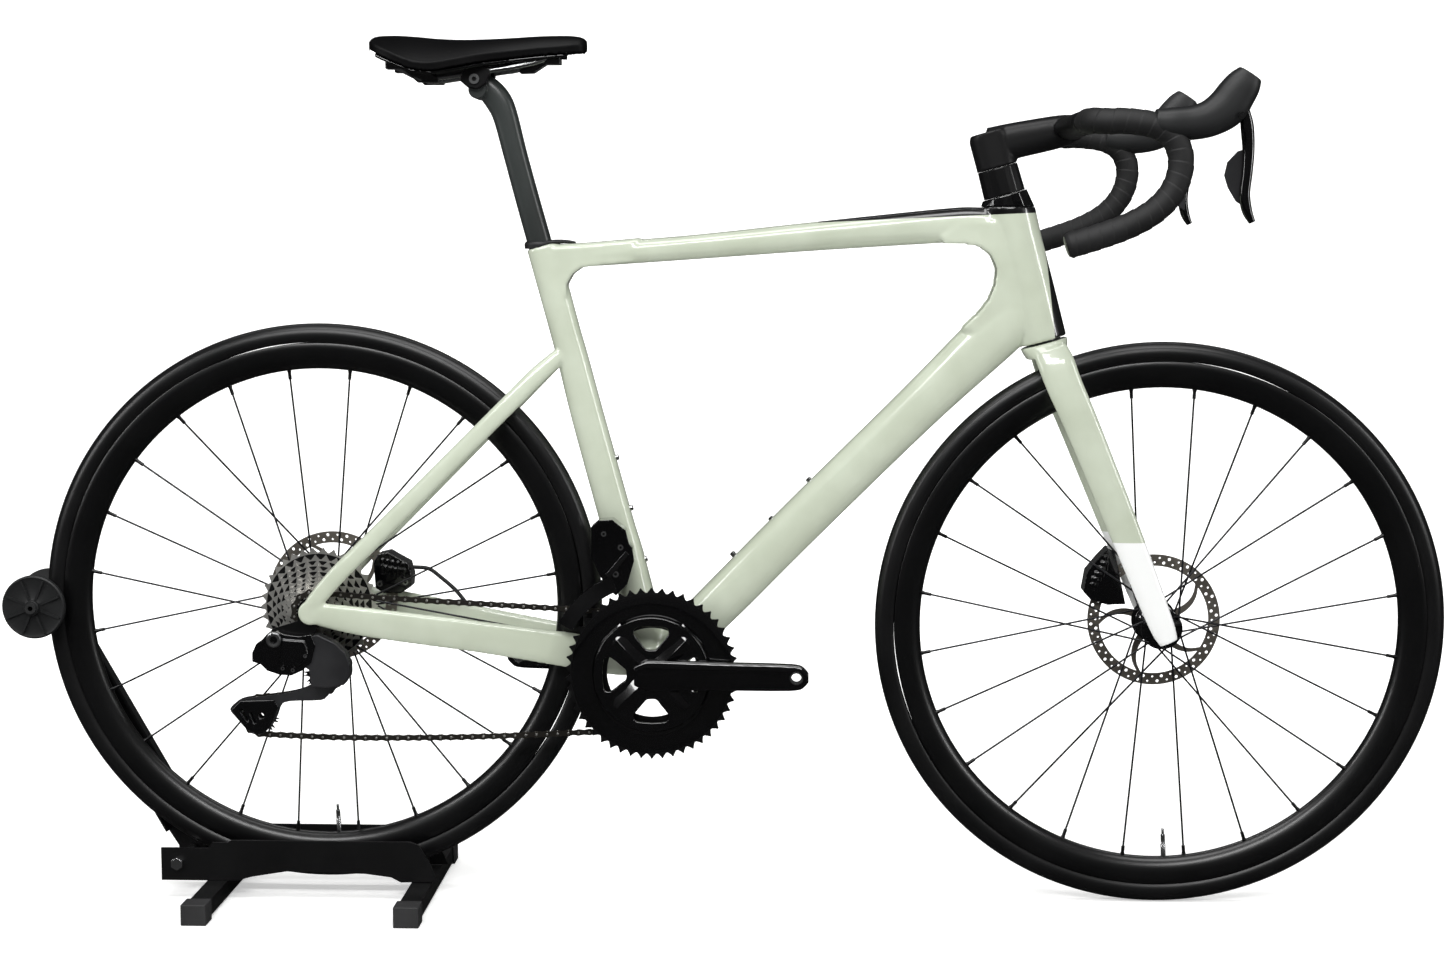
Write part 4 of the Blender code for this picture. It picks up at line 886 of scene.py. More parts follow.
rear_block = [
    (52, 402), (57, 412), (70, 415), (82, 408), (95, 401), (99, 386), (98, 372), (86, 364), (64, 364),
    (54, 370),
]
rear_mesh = moulded(as_object(ribbed_caliper(rear_block, 46, 76, (60, 398), (92, 392), 5)), 0.9, 6)
settle("rear_caliper_block", rear_mesh, "bicycle", gloss_black,
       ("rear_caliper",), sharp=0)
front_block = [(921, 374), (925, 398), (938, 414), (950, 427), (958, 424), (972, 359), (950, 358), (930, 364)]
front_mesh = moulded(as_object(ribbed_caliper(front_block, 26, 58, (930, 380), (948, 412), 5)), 0.9, 6)
settle("front_caliper_block", front_mesh, "steering", gloss_black,
       ("front_caliper",), sharp=0)
caliper_bolts = [socket_bolt(c, 45, -1, 3.6, 2.4) for c in ((60, 376), (92, 378))]
drawn("rear_caliper_bolts", gathered(caliper_bolts), "rear_caliper", bright_steel, replaces=False)

# %% [markdown]
# ### Bottle bolts
# The threads for two bottle cages are closed with small silver screws on the down tube and the seat tube.

# %% Bottle bolts on the tubes
screws = []
for (x, z), (out_x, out_z) in (
    ((543, 465), (-0.7, 0.714)), ((588, 512), (-0.7, 0.714)), ((497, 422), (-0.7, 0.714)),
    ((358, 538), (0.97, 0.25)), ((375, 477), (0.97, 0.25)), ((392, 415), (0.97, 0.25)),
):
    start = Vector((x, 0, z))
    out = Vector((out_x, 0, out_z)).normalized()
    head = [start - out * 6, start, start + out * 1.6, start + out * 2.2]
    screws.append(round_tube(head, [3.4, 3.4, 3.4, 2.2], 20))
drawn("bottle_screws", gathered(screws), "frame", bright_steel, replaces=False)

# %% [markdown]
# # Drive train
# Teeth, links and pins repeat with one pitch of 12.7 mm, the half inch that every bicycle chain shares. A
# wheel of n teeth has its rollers on a circle of radius pitch / (2 sin(180 / n)).

# %% Teeth
CHAIN_PITCH = 12.7
OUTER_TEETH, INNER_TEETH = 50, 34
COG_TEETH = (11, 12, 13, 14, 15, 17, 19, 21, 24, 27, 30, 34)
OUTER_RING_Y, INNER_RING_Y, SMALL_COG_Y, COG_SPACING = -47.8, -40.0, -64.5, 3.5


def pitch_radius(teeth):
    return CHAIN_PITCH / (2 * math.sin(math.pi / teeth))


def toothed(center, teeth, tip_rise=2.6, root_drop=3.7, turn=0.0):
    """A sprocket outline: round seats for the rollers and blunt, slightly hollow teeth between them."""
    pitch = pitch_radius(teeth)
    outline = []
    steps = ((0.0, -root_drop), (0.10, -root_drop + 0.25), (0.22, -root_drop + 1.9), (0.33, -0.4),
             (0.44, tip_rise - 0.35), (0.5, tip_rise), (0.56, tip_rise - 0.35), (0.67, -0.4),
             (0.78, -root_drop + 1.9), (0.90, -root_drop + 0.25))
    for i in range(teeth):
        for share, rise in steps:
            angle = 2 * math.pi * (i + share) / teeth + turn
            radius = pitch + rise
            outline.append((center[0] + radius * math.cos(angle), center[1] + radius * math.sin(angle)))
    return outline


# %% [markdown]
# ### Cassette
# Twelve sprockets stand side by side on the freehub. Each is a thin toothed plate with windows cut out of
# it to save weight, and spacers keep them apart. Thin dark discs between the plates are painted shade for
# the dark gaps between the bright plates.

# %% Cassette
cogs = []
for i, teeth in enumerate(COG_TEETH):
    y = SMALL_COG_Y + COG_SPACING * i
    tip = 2.0 if i else -4.6
    holes = [circle(rear_axle, 17.5 if i else 15.0, 48)]
    pitch = pitch_radius(teeth)
    if teeth >= 19:
        middle = (pitch + 16) / 2 + 1
        windows = 6 if teeth < 27 else 9
        for k in range(windows):
            turn = 2 * math.pi * (k + 0.5 * (i % 2)) / windows
            spot = (rear_axle[0] + middle * math.cos(turn), rear_axle[1] + middle * math.sin(turn))
            holes.append(circle(spot, (pitch - 24) / 3.2, 14))
    outline = toothed(rear_axle, teeth, tip, 3.7 if i else 6.2, 0.11 * i)
    cogs.append(pierced(outline, holes, y - 0.8, y + 0.8))
drawn("cassette_cogs", gathered(cogs), "cassette", nickel, sharp=30)
# Thin dark discs just behind each cog, reaching nearly to its tooth roots: painted shade for the shadow in
# the gaps between plates.
painted_shade_discs = []
for i, teeth in enumerate(COG_TEETH[1:], 1):
    y = SMALL_COG_Y + COG_SPACING * i
    edge = circle(rear_axle, pitch_radius(teeth) - 5.2, 72)
    painted_shade_discs.append(pierced(edge, [circle(rear_axle, 17.5, 48)], y - 1.5, y - 1.0))
drawn("cassette_painted_shade", gathered(painted_shade_discs), "cassette", satin_black, replaces=False)
last_cog_y = SMALL_COG_Y + COG_SPACING * (len(COG_TEETH) - 1)
spacer = [
    (17.4, SMALL_COG_Y - 0.7), (19.5, SMALL_COG_Y - 0.7), (21, SMALL_COG_Y + 4), (24.5, SMALL_COG_Y + 12),
    (27, last_cog_y - 8), (27, last_cog_y), (17.4, last_cog_y),
]
drawn("cassette_spacers", turned(spacer, rear_axle, 60), "cassette", satin_black, replaces=False)

# %% [markdown]
# ### The chain's route
# A chain runs straight between wheels and bends round them. For each pair of wheels the straight run
# touches both pitch circles; the guide pulley is the one wheel it bends round the other way.

# %% Route round the four wheels


def tangent_points(wheels):
    runs = []
    for a, b in zip(wheels, [*wheels[1:], wheels[0]]):
        ra, rb = a[2] * a[3], b[2] * b[3]
        dx, dz = b[0] - a[0], b[1] - a[1]
        normal = math.atan2(dz, dx) - math.acos((ra - rb) / math.hypot(dx, dz))
        c, s = math.cos(normal), math.sin(normal)
        runs.append([(w[0] + r * c, w[1] + r * s) for w, r in ((a, ra), (b, rb))])
    return runs


def chain_route():
    cog_r = pitch_radius(COG_TEETH[0])
    wheels = [(*crank_axle, pitch_radius(INNER_TEETH), 1), (*rear_axle, cog_r, 1),
              (*guide_axle, cog_r, -1), (*tension_axle, cog_r, 1)]
    runs = tangent_points(wheels)
    route = []
    for i, (x, z, radius, turn) in enumerate(wheels):
        entry, leave = runs[i - 1][1], runs[i][0]
        start = math.atan2(entry[1] - z, entry[0] - x)
        sweep = (math.atan2(leave[1] - z, leave[0] - x) - start) * turn % (2 * math.pi) * turn
        side = INNER_RING_Y if i == 0 else SMALL_COG_Y
        for k in range(61):
            angle = start + sweep * k / 60
            route.append(Vector((x + radius * math.cos(angle), side, z + radius * math.sin(angle))))
        first, last = (point(p) for p in runs[i])
        droop = 7 if i == 3 else 0
        for k in range(1, 40):
            t = k / 40
            spot = first.lerp(last, t)
            spot.z -= droop * 4 * t * (1 - t)
            from_ring = {0: t, 3: 1 - t}.get(i, 1)
            spot.y = INNER_RING_Y + (SMALL_COG_Y - INNER_RING_Y) * min(1, max(0, (from_ring - 0.2) / 0.6))
            route.append(spot)
    return route


def evenly_spaced(route, pitch):
    """Points one link apart along a closed route; the last gap is shared out over all links."""
    lengths = [(b - a).length for a, b in zip(route, [*route[1:], route[0]])]
    total = sum(lengths)
    count = 2 * round(total / pitch / 2)
    spots, walked, i = [], 0.0, 0
    for k in range(count):
        target = total * k / count
        while walked + lengths[i] < target:
            walked += lengths[i]
            i += 1
        spots.append(route[i].lerp(route[(i + 1) % len(route)], (target - walked) / max(lengths[i], 1e-9)))
    return spots


pins = evenly_spaced(chain_route(), CHAIN_PITCH)
print("chain of", len(pins), "links")

# %% [markdown]
# ### Links
# A chain alternates narrow pairs of plates with wide pairs. Each plate is waisted between its two ends,
# and a pin with a roller on it passes through every joint.

# %% Plates, rollers and pins
OUTER_PLATE_Y, INNER_PLATE_Y, PLATE_THICK = 1.95, 1.2, 0.7


def link_outline(length, half=4.0, waist=2.6):
    front = arc((length, 0), half, -70, 70, 6)
    back = arc((0, 0), half, 110, 250, 6)
    return [*front, (length / 2, waist), *back, (length / 2, -waist)]


def placed(outline, start, run, y_from, y_to):
    """A link plate laid along the line from one pin to the next."""
    up = run.cross(SIDEWAYS).normalized() * -1
    rings = [[start + run * a + up * b + SIDEWAYS * y for a, b in outline] for y in (y_from, y_to)]
    return skin(rings)


plates, rollers = [], []
for i, start in enumerate(pins):
    end = pins[(i + 1) % len(pins)]
    gap = (end - start).length
    run = (end - start) / gap
    outline = link_outline(gap)
    side = OUTER_PLATE_Y if i % 2 else INNER_PLATE_Y
    for sign in (-1, 1):
        middle = sign * side
        plates.append(placed(outline, start, run, middle - PLATE_THICK / 2, middle + PLATE_THICK / 2))
    spot = (start.x, start.z)
    rollers.append(rod(spot, 3.6, start.y - 0.85, start.y + 0.85, 14))
    rollers.append(rod(spot, 1.7, start.y - 2.45, start.y + 2.45, 12))
drawn("chain_plates", gathered(plates), "chain", chain_steel, sharp=30)
drawn("chain_rollers", gathered(rollers), "chain", roller_steel, replaces=False, sharp=30)

# %% [markdown]
# ### Chainrings
# The outer ring is a hollow forging: a wide polished dish with bare teeth round its edge. The inner ring
# is a flat plate with the chain on it.

# %% Rings and pulleys
teeth_plate = pierced(toothed(crank_axle, OUTER_TEETH, 2.3), [circle(crank_axle, 88, 120)],
                      OUTER_RING_Y - 1.2, OUTER_RING_Y + 1.2)
dish = [
    (66.4, OUTER_RING_Y + 1.2), (66.4, OUTER_RING_Y - 0.2), (68.0, OUTER_RING_Y - 1.6),
    (72, OUTER_RING_Y - 2.6), (80, OUTER_RING_Y - 3.0), (88, OUTER_RING_Y - 2.7),
    (93.5, OUTER_RING_Y - 1.9), (96.0, OUTER_RING_Y - 1.2), (96.0, OUTER_RING_Y + 1.0),
    (90, OUTER_RING_Y + 1.3),
]
drawn("outer_ring_teeth", teeth_plate, "chainring_outer", satin_black, sharp=30)
drawn("outer_ring_dish", turned(dish, crank_axle, 180), "chainring_outer", gloss_black,
      replaces=False, sharp=35)
inner_ring = pierced(toothed(crank_axle, INNER_TEETH, 1.0, 5.0), [circle(crank_axle, 54, 120)],
                     INNER_RING_Y - 1.1, INNER_RING_Y + 1.1)
drawn("inner_ring_plate", inner_ring, "chainring_inner", satin_black, sharp=30)
for name, center in (("guide", guide_axle), ("tension", tension_axle)):
    holes = [circle(center, 3.3, 24)]
    for k in range(5):
        turn = 2 * math.pi * k / 5
        holes.append(circle((center[0] + 10.5 * math.cos(turn), center[1] + 10.5 * math.sin(turn)), 2.6, 14))
    wheel = pierced(toothed(center, 11, -4.4, 7.2), holes, SMALL_COG_Y - 1.5, SMALL_COG_Y + 1.5)
    drawn(f"{name}_wheel", wheel, f"{name}_pulley", matte_black)

# %% [markdown]
# ### Cranks
# Each crank is a hollow forging, polished black. The right one carries four arms for the rings: a plate
# with four rounded windows, and on it four low roofs whose ridges catch the light. The arms are tubes of
# changing section, moulded like the frame. The hole for the pedal's thread is cut with a Boolean before
# that, so its edge softens too.

# %% Cranks and their bolts
CRANK_LENGTH = 172.5
ARM_RUNS = ((-20, 59, 12), (-10, 59, 17), (0, 59, 19), (40, 59.5, 18), (90, 61.5, 17), (150, 64.5, 16.5),
            (175, 65.5, 15), (183, 65.8, 10), (187, 66, 5))


def flat_points(path):
    return [(p.x, p.z) for p in path]


def window(angle_deg):
    """The rounded opening between two arms: narrow near the axle, wide near the ring."""
    corners = [(30, -5.5), (30, 5.5), (37, 11.5), (47, 19.5), (52, 20.5), (56.5, 17), (58, 0), (56.5, -17),
               (52, -20.5), (47, -19.5), (37, -11.5)]
    turn = math.radians(angle_deg)
    c, s = math.cos(turn), math.sin(turn)
    outline = []
    for r, side in corners:
        outline.append(Vector((crank_axle[0] + r * c - side * s, 0, crank_axle[1] + r * s + side * c)))
    smooth = curve_through([*outline, outline[0]], 3)[:-1]
    return flat_points(smooth)


def creased_arm(angle_deg):
    """One of the four arms, a low roof whose ridge runs out from the axle to the ring."""
    turn = math.radians(angle_deg)
    out = Vector((math.cos(turn), 0, math.sin(turn)))
    across = SIDEWAYS.cross(out)
    origin = point(crank_axle)
    rings = []
    for r, half, base, ridge in (
        (12, 13, -55, -64.5), (34, 11.5, -55, -62.5), (58, 15, -54, -58.5), (70, 17, -50, -51.5),
    ):
        middle = origin + out * r
        rings.append([middle - across * half + SIDEWAYS * base, middle + SIDEWAYS * ridge,
                      middle + across * half + SIDEWAYS * base, middle + SIDEWAYS * -49.0])
    return skin(rings)


def arm_tube(forward, side):
    rows = [(crank_axle[0] + forward * run, side * y, crank_axle[1], half, 7) for run, y, half in ARM_RUNS]
    return shaped_tube(rows, 36, 3.6, 5)


star = pierced(circle(crank_axle, 69, 120), [window(a) for a in (0, 90, 180, 270)], -56.5, -49.8)
drawn("crank_star", star, "crank_right", gloss_black, sharp=30, bevel=1.6)
drawn("crank_star_arms", gathered([creased_arm(a) for a in (45, 135, 225, 315)]), "crank_right", gloss_black,
      replaces=False, sharp=20, bevel=0.8)


def bored(made, cutter):
    """An object with the room taken by a second object cut out of it."""
    cut = made.modifiers.new("pedal hole", "BOOLEAN")
    cut.operation = "DIFFERENCE"
    cut.solver = "EXACT"
    cut.object = cutter
    return made


for side_name, forward, side, stands_for in (("right", 1, -1, ()), ("left", -1, 1, ("crank_left",))):
    drill = as_object(rod((crank_axle[0] + forward * CRANK_LENGTH, crank_axle[1]), 7.2, -90, 90, 40))
    arm_mesh = moulded(bored(as_object(arm_tube(forward, side)), drill), 0.9, 6)
    bpy.data.objects.remove(drill)
    settle(f"crank_arm_{side_name}", arm_mesh, "cranks", gloss_black, stands_for, sharp=0)
drawn("crank_spindle", rod(crank_axle, 12, -58, 67, 48), "crank_right", satin_black,
      replaces=False)
drawn("crank_left_boss", rod(crank_axle, 18, 52, 66, 60), "crank_left", gloss_black, replaces=False)
sleeve = [(6.0, 72.4), (7.6, 72.4), (7.6, 58.6), (6.0, 58.6)]
for side_name, forward, side in (("right", 1, -1), ("left", -1, 1)):
    hole = (crank_axle[0] + forward * CRANK_LENGTH, crank_axle[1])
    thread = turned([(r, side * y) for r, y in sleeve], hole, 40)
    drawn(f"pedal_thread_{side_name}", thread, f"crank_{side_name}", bright_steel,
          replaces=False)

# %% [markdown]
# ### Derailleurs
# The front derailleur hides a motor in a faceted black box and holds a cage of bent steel plate. The box
# is a moulding, so its outline is extruded and goes through the moulding step. The cage is a pressing and
# stays crisp.

# %% Front derailleur
motor_outline = [
    (331, 424), (331, 460), (340, 468), (356, 469), (372, 456), (376, 440), (380, 434), (382, 420),
    (374, 392), (360, 378), (349, 388), (338, 408),
]
motor = moulded(as_object(plate(motor_outline, -52, -26)), 0.8, 4)
settle("front_motor_case", motor, "bicycle", gloss_black,
       ("front_derailleur_body",), sharp=0)
broken_edges("front_derailleur_cage", dark_chrome, 0.3)
places = (((346, 452), 3.2), ((366, 436), 3.4), ((360, 404), 3.8))
screws = [socket_bolt(center, -51.6, -1, radius, 1.4) for center, radius in places]
drawn("front_motor_screws", gathered(screws), "front_derailleur_body", bright_steel,
      replaces=False)
rib = [(352, 398), (376, 428), (372, 432), (348, 404)]
drawn("front_link_bar", plate(rib, -55, -51.5), "front_derailleur_body", dark_chrome,
      replaces=False, bevel=0.6)

# %% [markdown]
# ### Rear derailleur
# It hangs from the hanger: a body on a bolt, a knuckle that the links move in and out, and a long cage
# with two toothed pulleys. Body and knuckle are cast and then lacquered, so they are drawn as soft
# solids.

# %% Rear derailleur body and knuckle
body_outline = [
    (-55.4, 328.6), (-48.1, 337), (-37.4, 339.5), (-28, 336), (-10.2, 333.7), (4, 336.2), (8.6, 323),
    (3.4, 302.7), (-7.5, 293), (-20.6, 287), (-35, 288), (-49, 292.7), (-56, 300), (-66.7, 303.4),
    (-66.5, 314), (-61.4, 325),
]
raised = [(-30, 330), (-4, 328), (0, 312), (-12, 298), (-34, 300)]
body = moulded(as_object(gathered([plate(body_outline, -93, -76), plate(raised, -95, -90)])), 0.8, 7)
settle("rear_mech_body", body, "rear_derailleur", gloss_black,
       ("rear_derailleur_body",), sharp=0)
knuckle_outline = [
    (-8, 324), (-2, 332), (10.5, 335.7), (30.5, 326.3), (43.4, 314.4), (49, 300), (47.6, 285.7),
    (41.5, 276), (23.6, 272.3), (2.2, 273.3), (1.1, 283), (0.2, 293.7), (-9, 299),
]
link = moulded(as_object(plate(knuckle_outline, -91, -74)), 0.8, 9)
settle("rear_mech_knuckle", link, "rear_link", grey_satin,
       ("rear_derailleur_link",), sharp=0)

# %% [markdown]
# ### The cage
# Two plates hold the pulleys. The outer one sweeps back from its pivot in a long S and ends in a blunt
# triangle round the lower pulley, with slots that save weight.

# %% Cage plates
s_curve = [(45.2, 300), (45, 283), (37.6, 274.6), (28, 268.5), (18.2, 260), (9.7, 253.8), (-27.5, 252.3),
           (-39.7, 246.2), (-44.7, 234), (-51, 221.9), (-59.6, 213.3), (-67, 212), (-80, 218), (-90.5, 230),
           (-98.7, 239.7), (-97.3, 245.7), (-87.5, 253), (-69.4, 256.8), (-39.3, 260.7), (-15.3, 265.7),
           (-0.7, 273), (6.6, 282.8), (11.6, 292.5), (21.5, 308.2), (33.5, 312)]
outer_edge = flat_points(curve_through([point(p) for p in [*s_curve, s_curve[0]]], 3)[:-1])
slots = [circle((-61.5, 235), 3.8, 20), [(-88, 241), (-84, 243), (-77, 229), (-79, 227)],
         [(-75.5, 238), (-73, 239), (-68.5, 226), (-70.5, 225)]]
outer_plate = pierced(outer_edge, slots, -73.4, -70.4)
inner_plate = pierced(outer_edge, [circle((-61.5, 235), 3.8, 20)], -60.2, -58.6)
pins_of_cage = [rod(guide_axle, 3, -70.5, -58.8, 24), rod(cage_pivot, 5, -80, -70, 24)]
drawn("cage_plates", gathered([outer_plate, inner_plate]), "rear_derailleur_cage", grey_satin,
      sharp=30, bevel=0.7)
drawn("cage_pins", gathered(pins_of_cage), "rear_derailleur_cage", satin_black, replaces=False)
triangle = [
    (-97, 242), (-86, 252.5), (-46, 254), (-41, 246), (-46, 233), (-52, 221), (-60, 213.6), (-67, 212.6),
    (-80, 218.6), (-90, 230),
]
triangle_mesh = pierced(triangle, slots, -75.6, -73.2)
drawn("cage_end", triangle_mesh, "rear_derailleur_cage", gloss_black,
      replaces=False, sharp=30, bevel=0.9)
ring_bolt = [(4.6, -94.3), (4.6, -96.4), (7.6, -96.8), (9.0, -95.8), (9.0, -92.0), (4.6, -92.0)]
drawn("hanger_bolt_ring", turned(ring_bolt, hanger_bolt, 48), "rear_derailleur_body", bright_steel,
      replaces=False)
screws = [socket_bolt(c, -94.5, -1, 2.4, 1.0) for c in ((-18, 294), (-30, 296), (-3, 311))]
drawn("rear_mech_screws", gathered(screws), "rear_derailleur_body", bright_steel,
      replaces=False)

# %% [markdown]
# # Cockpit
# Stem and handlebar are one composite moulding: a clamp round the steerer, a flat-sided neck, and a wing-
# shaped top. The drops are wrapped in tape, and the rubber hoods sit where the drops begin.

# %% Stem and bar
STEM_RISE = 211.0
BAR_X, BAR_Z = 892.0, 927.0
clamp = skin([
    oval(along_steering(STEM_RISE + rise), steering_forward, SIDEWAYS, depth, 20, 40, 2.6)
    for rise, depth in ((0, 24), (37, 24), (43, 21))
])
neck = [(800, 0, 907, 22, 17), (830, 0, 914, 21, 17), (880, 0, 924, 19, 20), (900, 0, 929, 15, 24)]
wing_path = [
    (-172, 14), (-165, 17), (-140, 19), (-60, 20), (0, 20), (60, 20), (140, 19), (165, 17), (172, 14),
]
wing = skin([
    oval(Vector((BAR_X, y, BAR_Z)), Vector((1, 0, 0)), Vector((0, 0, 1)), depth, 13, 40)
    for y, depth in wing_path
])
cockpit_mesh = moulded(as_object(gathered([clamp, shaped_tube(neck, 40, 3), wing])), 1.5, 12)
settle("cockpit_skin", cockpit_mesh, "steering", matte_black, ("cockpit",), sharp=0)

# %% [markdown]
# ### Bar tape
# Tape is wound from the end of the drop upwards, each turn covering half of the one before. The overlap
# shows as a low step that runs round the bar like a screw thread, and that step is what makes it look
# like tape.

# %% Wound tape
TAPE_RADIUS = 14.5


def hand_route(sign):
    corners = [
        (BAR_X, 172.6, BAR_Z), (BAR_X + 1, 184, BAR_Z), (BAR_X + 7, 197, BAR_Z),
        (BAR_X + 20, 204, BAR_Z - 1), (930, 206, 926), (958, 207, 922), (978, 207, 911), (988, 208, 892),
        (988, 209, 870), (979, 210, 848), (961, 211, 829), (935, 212, 814), (903, 212, 802),
        (867, 213, 791),
    ]
    return curve_through([Vector((x, sign * y, z)) for x, y, z in corners], 14)


def wound_tape(path, turn_length=14.0, step=0.9, count=48):
    """A tube whose radius falls slowly along each turn of tape and rises sharply at its edge."""
    side = (path[1] - path[0]).orthogonal().normalized()
    rings, walked = [], 0.0
    for i, center in enumerate(path):
        run = (path[min(i + 1, len(path) - 1)] - path[max(i - 1, 0)]).normalized()
        side = (side - run * side.dot(run)).normalized()
        up = run.cross(side)
        if i:
            walked += (center - path[i - 1]).length
        ring = []
        for k in range(count):
            angle = 2 * math.pi * k / count
            share = (walked / turn_length + k / count) % 1.0
            edge = min(share / 0.12, 1.0) * (1 - 0.75 * share)
            end = min(1.0, 0.82 + 0.18 * min(i, len(path) - 1 - i) / 4)
            radius = (TAPE_RADIUS - step + step * edge) * end
            ring.append(center + (side * math.cos(angle) + up * math.sin(angle)) * radius)
        rings.append(ring)
    return skin(rings)


for side_name, sign in (("right", -1), ("left", 1)):
    path = hand_route(sign)
    fine = [a.lerp(b, k / 3) for a, b in zip(path, path[1:]) for k in range(3)] + [path[-1]]
    drawn(f"wound_tape_{side_name}", wound_tape(fine), f"bar_tape_{side_name}", tape_cover, sharp=60)
    plug_path = [path[-1] + (path[-1] - path[-2]).normalized() * d for d in (-2, 0.2, 0.6)]
    drawn(f"bar_plug_{side_name}", round_tube(plug_path, [11.0, 11.0, 9.5], 32), f"bar_tape_{side_name}",
          satin_black, replaces=False)

# %% [markdown]
# ### Hoods, levers and paddles
# The hood is a soft rubber sleeve with a raised horn. The brake lever swings inside it, a slim polished
# blade, and the gear paddle is a thin plate just behind.

# %% Hoods and levers
hood_rows = (
    (960, 206, 925, 14, 15), (978, 206, 923, 17.5, 17), (1000, 204, 924, 18.5, 17.5),
    (1020, 204, 929, 20, 17), (1037, 204, 940, 22, 16.5), (1047, 204, 954, 21, 16),
    (1056, 204, 967, 18.5, 15), (1062, 204, 976, 14, 12),
)
blade_rows = (
    (1057, 204, 938, 5, 7), (1060, 204, 920, 7, 7.5), (1062, 204, 895, 6.5, 6), (1061, 204, 870, 6, 6),
    (1059, 204, 848, 6, 6), (1062, 204, 830, 5.5, 6), (1068, 204, 817, 3.5, 4.5),
)
for side_name, sign in (("right", -1), ("left", 1)):
    rows = [(x, sign * y, z, depth, width) for x, y, z, depth, width in hood_rows]
    hood_mesh = moulded(as_object(shaped_tube(rows, 44, 2.5)), 1.2, 12)
    settle(f"hood_sleeve_{side_name}", hood_mesh, "steering", soft_rubber,
           (f"hood_{side_name}",), sharp=0)
    drawn(f"lever_pivot_bolt_{side_name}", socket_bolt((1051.5, 931.5), sign * 220, sign, 3.6, 1.4),
          f"hood_{side_name}", satin_black, replaces=False)
    rows = [(x, sign * y, z, depth, width) for x, y, z, depth, width in blade_rows]
    blade_mesh = moulded(as_object(shaped_tube(rows, 36, 2.6)), 0.8, 6)
    settle(f"lever_blade_{side_name}", blade_mesh, f"lever_{side_name}", gloss_black,
           (f"brake_lever_{side_name}",), sharp=0)
    broken_edges(f"shift_paddle_{side_name}", grey_satin, 0.6)

# %% [markdown]
# # Seat
# The post is composite and drops straight into the frame. A two-piece clamp holds the saddle by its
# rails: one steel wire bent into a long loop that carries the shell and its pad.

# %% Post, clamp and rails
post_rows = [
    (301, 0, 665, 14.5, 12), (283, 0, 733, 14.5, 12), (267, 0, 794, 14.5, 12), (252.5, 0, 847, 14.3, 12),
    (238.5, 0, 900, 14.2, 12), (227.8, 0, 942, 14.8, 12), (219.5, 0, 961, 15.8, 12),
    (207, 0, 976, 14.5, 12), (197, 0, 984, 9.5, 11),
]
post_parts = [shaped_tube(post_rows, 40, 2.4), rod((197, 973), 10.5, -20, 20, 40)]
post_mesh = moulded(as_object(gathered(post_parts)), 1.0, 10)
settle("seatpost_tube", post_mesh, body_of["seatpost"], dark_carbon,
       ("seatpost",), sharp=0)
clamp_side = [
    (178, 983), (180, 992), (187, 999), (204, 1002), (213, 997), (213, 990), (208, 979), (198, 973),
    (187, 975),
]
cheeks = [plate(clamp_side, *sorted((side * 17, side * 27))) for side in (-1, 1)]
clamp_mesh = moulded(as_object(gathered([*cheeks, rod((196, 984), 8.5, -20, 20, 40)])), 0.8, 4)
settle("rail_clamp", clamp_mesh, body_of["saddle_clamp"], satin_black,
       ("saddle_clamp",), sharp=0)
drawn("clamp_bolt", socket_bolt((195, 985), -27, -1, 6.0, 2.4), "saddle_clamp", bright_steel,
      replaces=False)
RAIL_Y, RAIL_RADIUS = 22.0, 3.5
rail_slope = math.radians(8)
rail_run = Vector((math.cos(rail_slope), 0, math.sin(rail_slope)))
clamp_middle = Vector((192, 0, 992))


def rail_side(sign):
    """One side of the rail, from its rear socket to the nose."""
    def beside(run):
        return clamp_middle + rail_run * run + SIDEWAYS * sign * RAIL_Y
    return [
        Vector((98, sign * 30, 1002)), Vector((112, sign * 28, 995)), Vector((130, sign * 24, 986)),
        beside(-54), beside(-30), beside(30), beside(46), Vector((262, sign * 15, 1004)),
        Vector((280, sign * 7, 1010)),
    ]


rail_path = curve_through([*rail_side(-1), Vector((287, 0, 1012)), *rail_side(1)[::-1]], 8)
drawn("rail_wire", round_tube(rail_path, RAIL_RADIUS, 20), "saddle_rails", bright_steel)

# %% [markdown]
# ### Saddle
# A saddle is a stiff shell, a layer of foam and a skin of microfibre pulled over both and pressed. Its
# outline is wide at the back for the sit bones and narrow at the nose. The foam is soft.

# %% Saddle pad and shell
saddle_stations = (
    (73, 34, 1031, 7), (76, 48, 1034, 8), (84, 62, 1036, 14), (104, 71, 1036.5, 24), (128, 73, 1035, 32),
    (150, 69, 1033, 32), (176, 56, 1032, 26), (204, 41, 1032.5, 20), (236, 30, 1034, 17),
    (270, 24, 1036, 15), (300, 21, 1036.5, 13), (314, 16.5, 1035.5, 11), (321, 12, 1033.5, 9),
    (325, 5, 1030, 5),
)


def saddle_arch(thick, count=33):
    """Rings across the saddle: a crowned top, rounded edges, and a lower face thick millimetres below."""
    rows = curve_through([np.array(s, float) for s in saddle_stations], 5)
    rings = []
    for x, half, z, fall in rows:
        upper, lower = [], []
        for i in range(count):
            t = -1 + 2 * i / (count - 1)
            sag = fall * abs(t) ** 2.6
            upper.append(Vector((x, half * t, z - sag)))
            lower.append(Vector((x, (half - 1) * t, z - sag - thick)))
        rings.append([*upper, *lower[::-1]])
    return skin(rings)


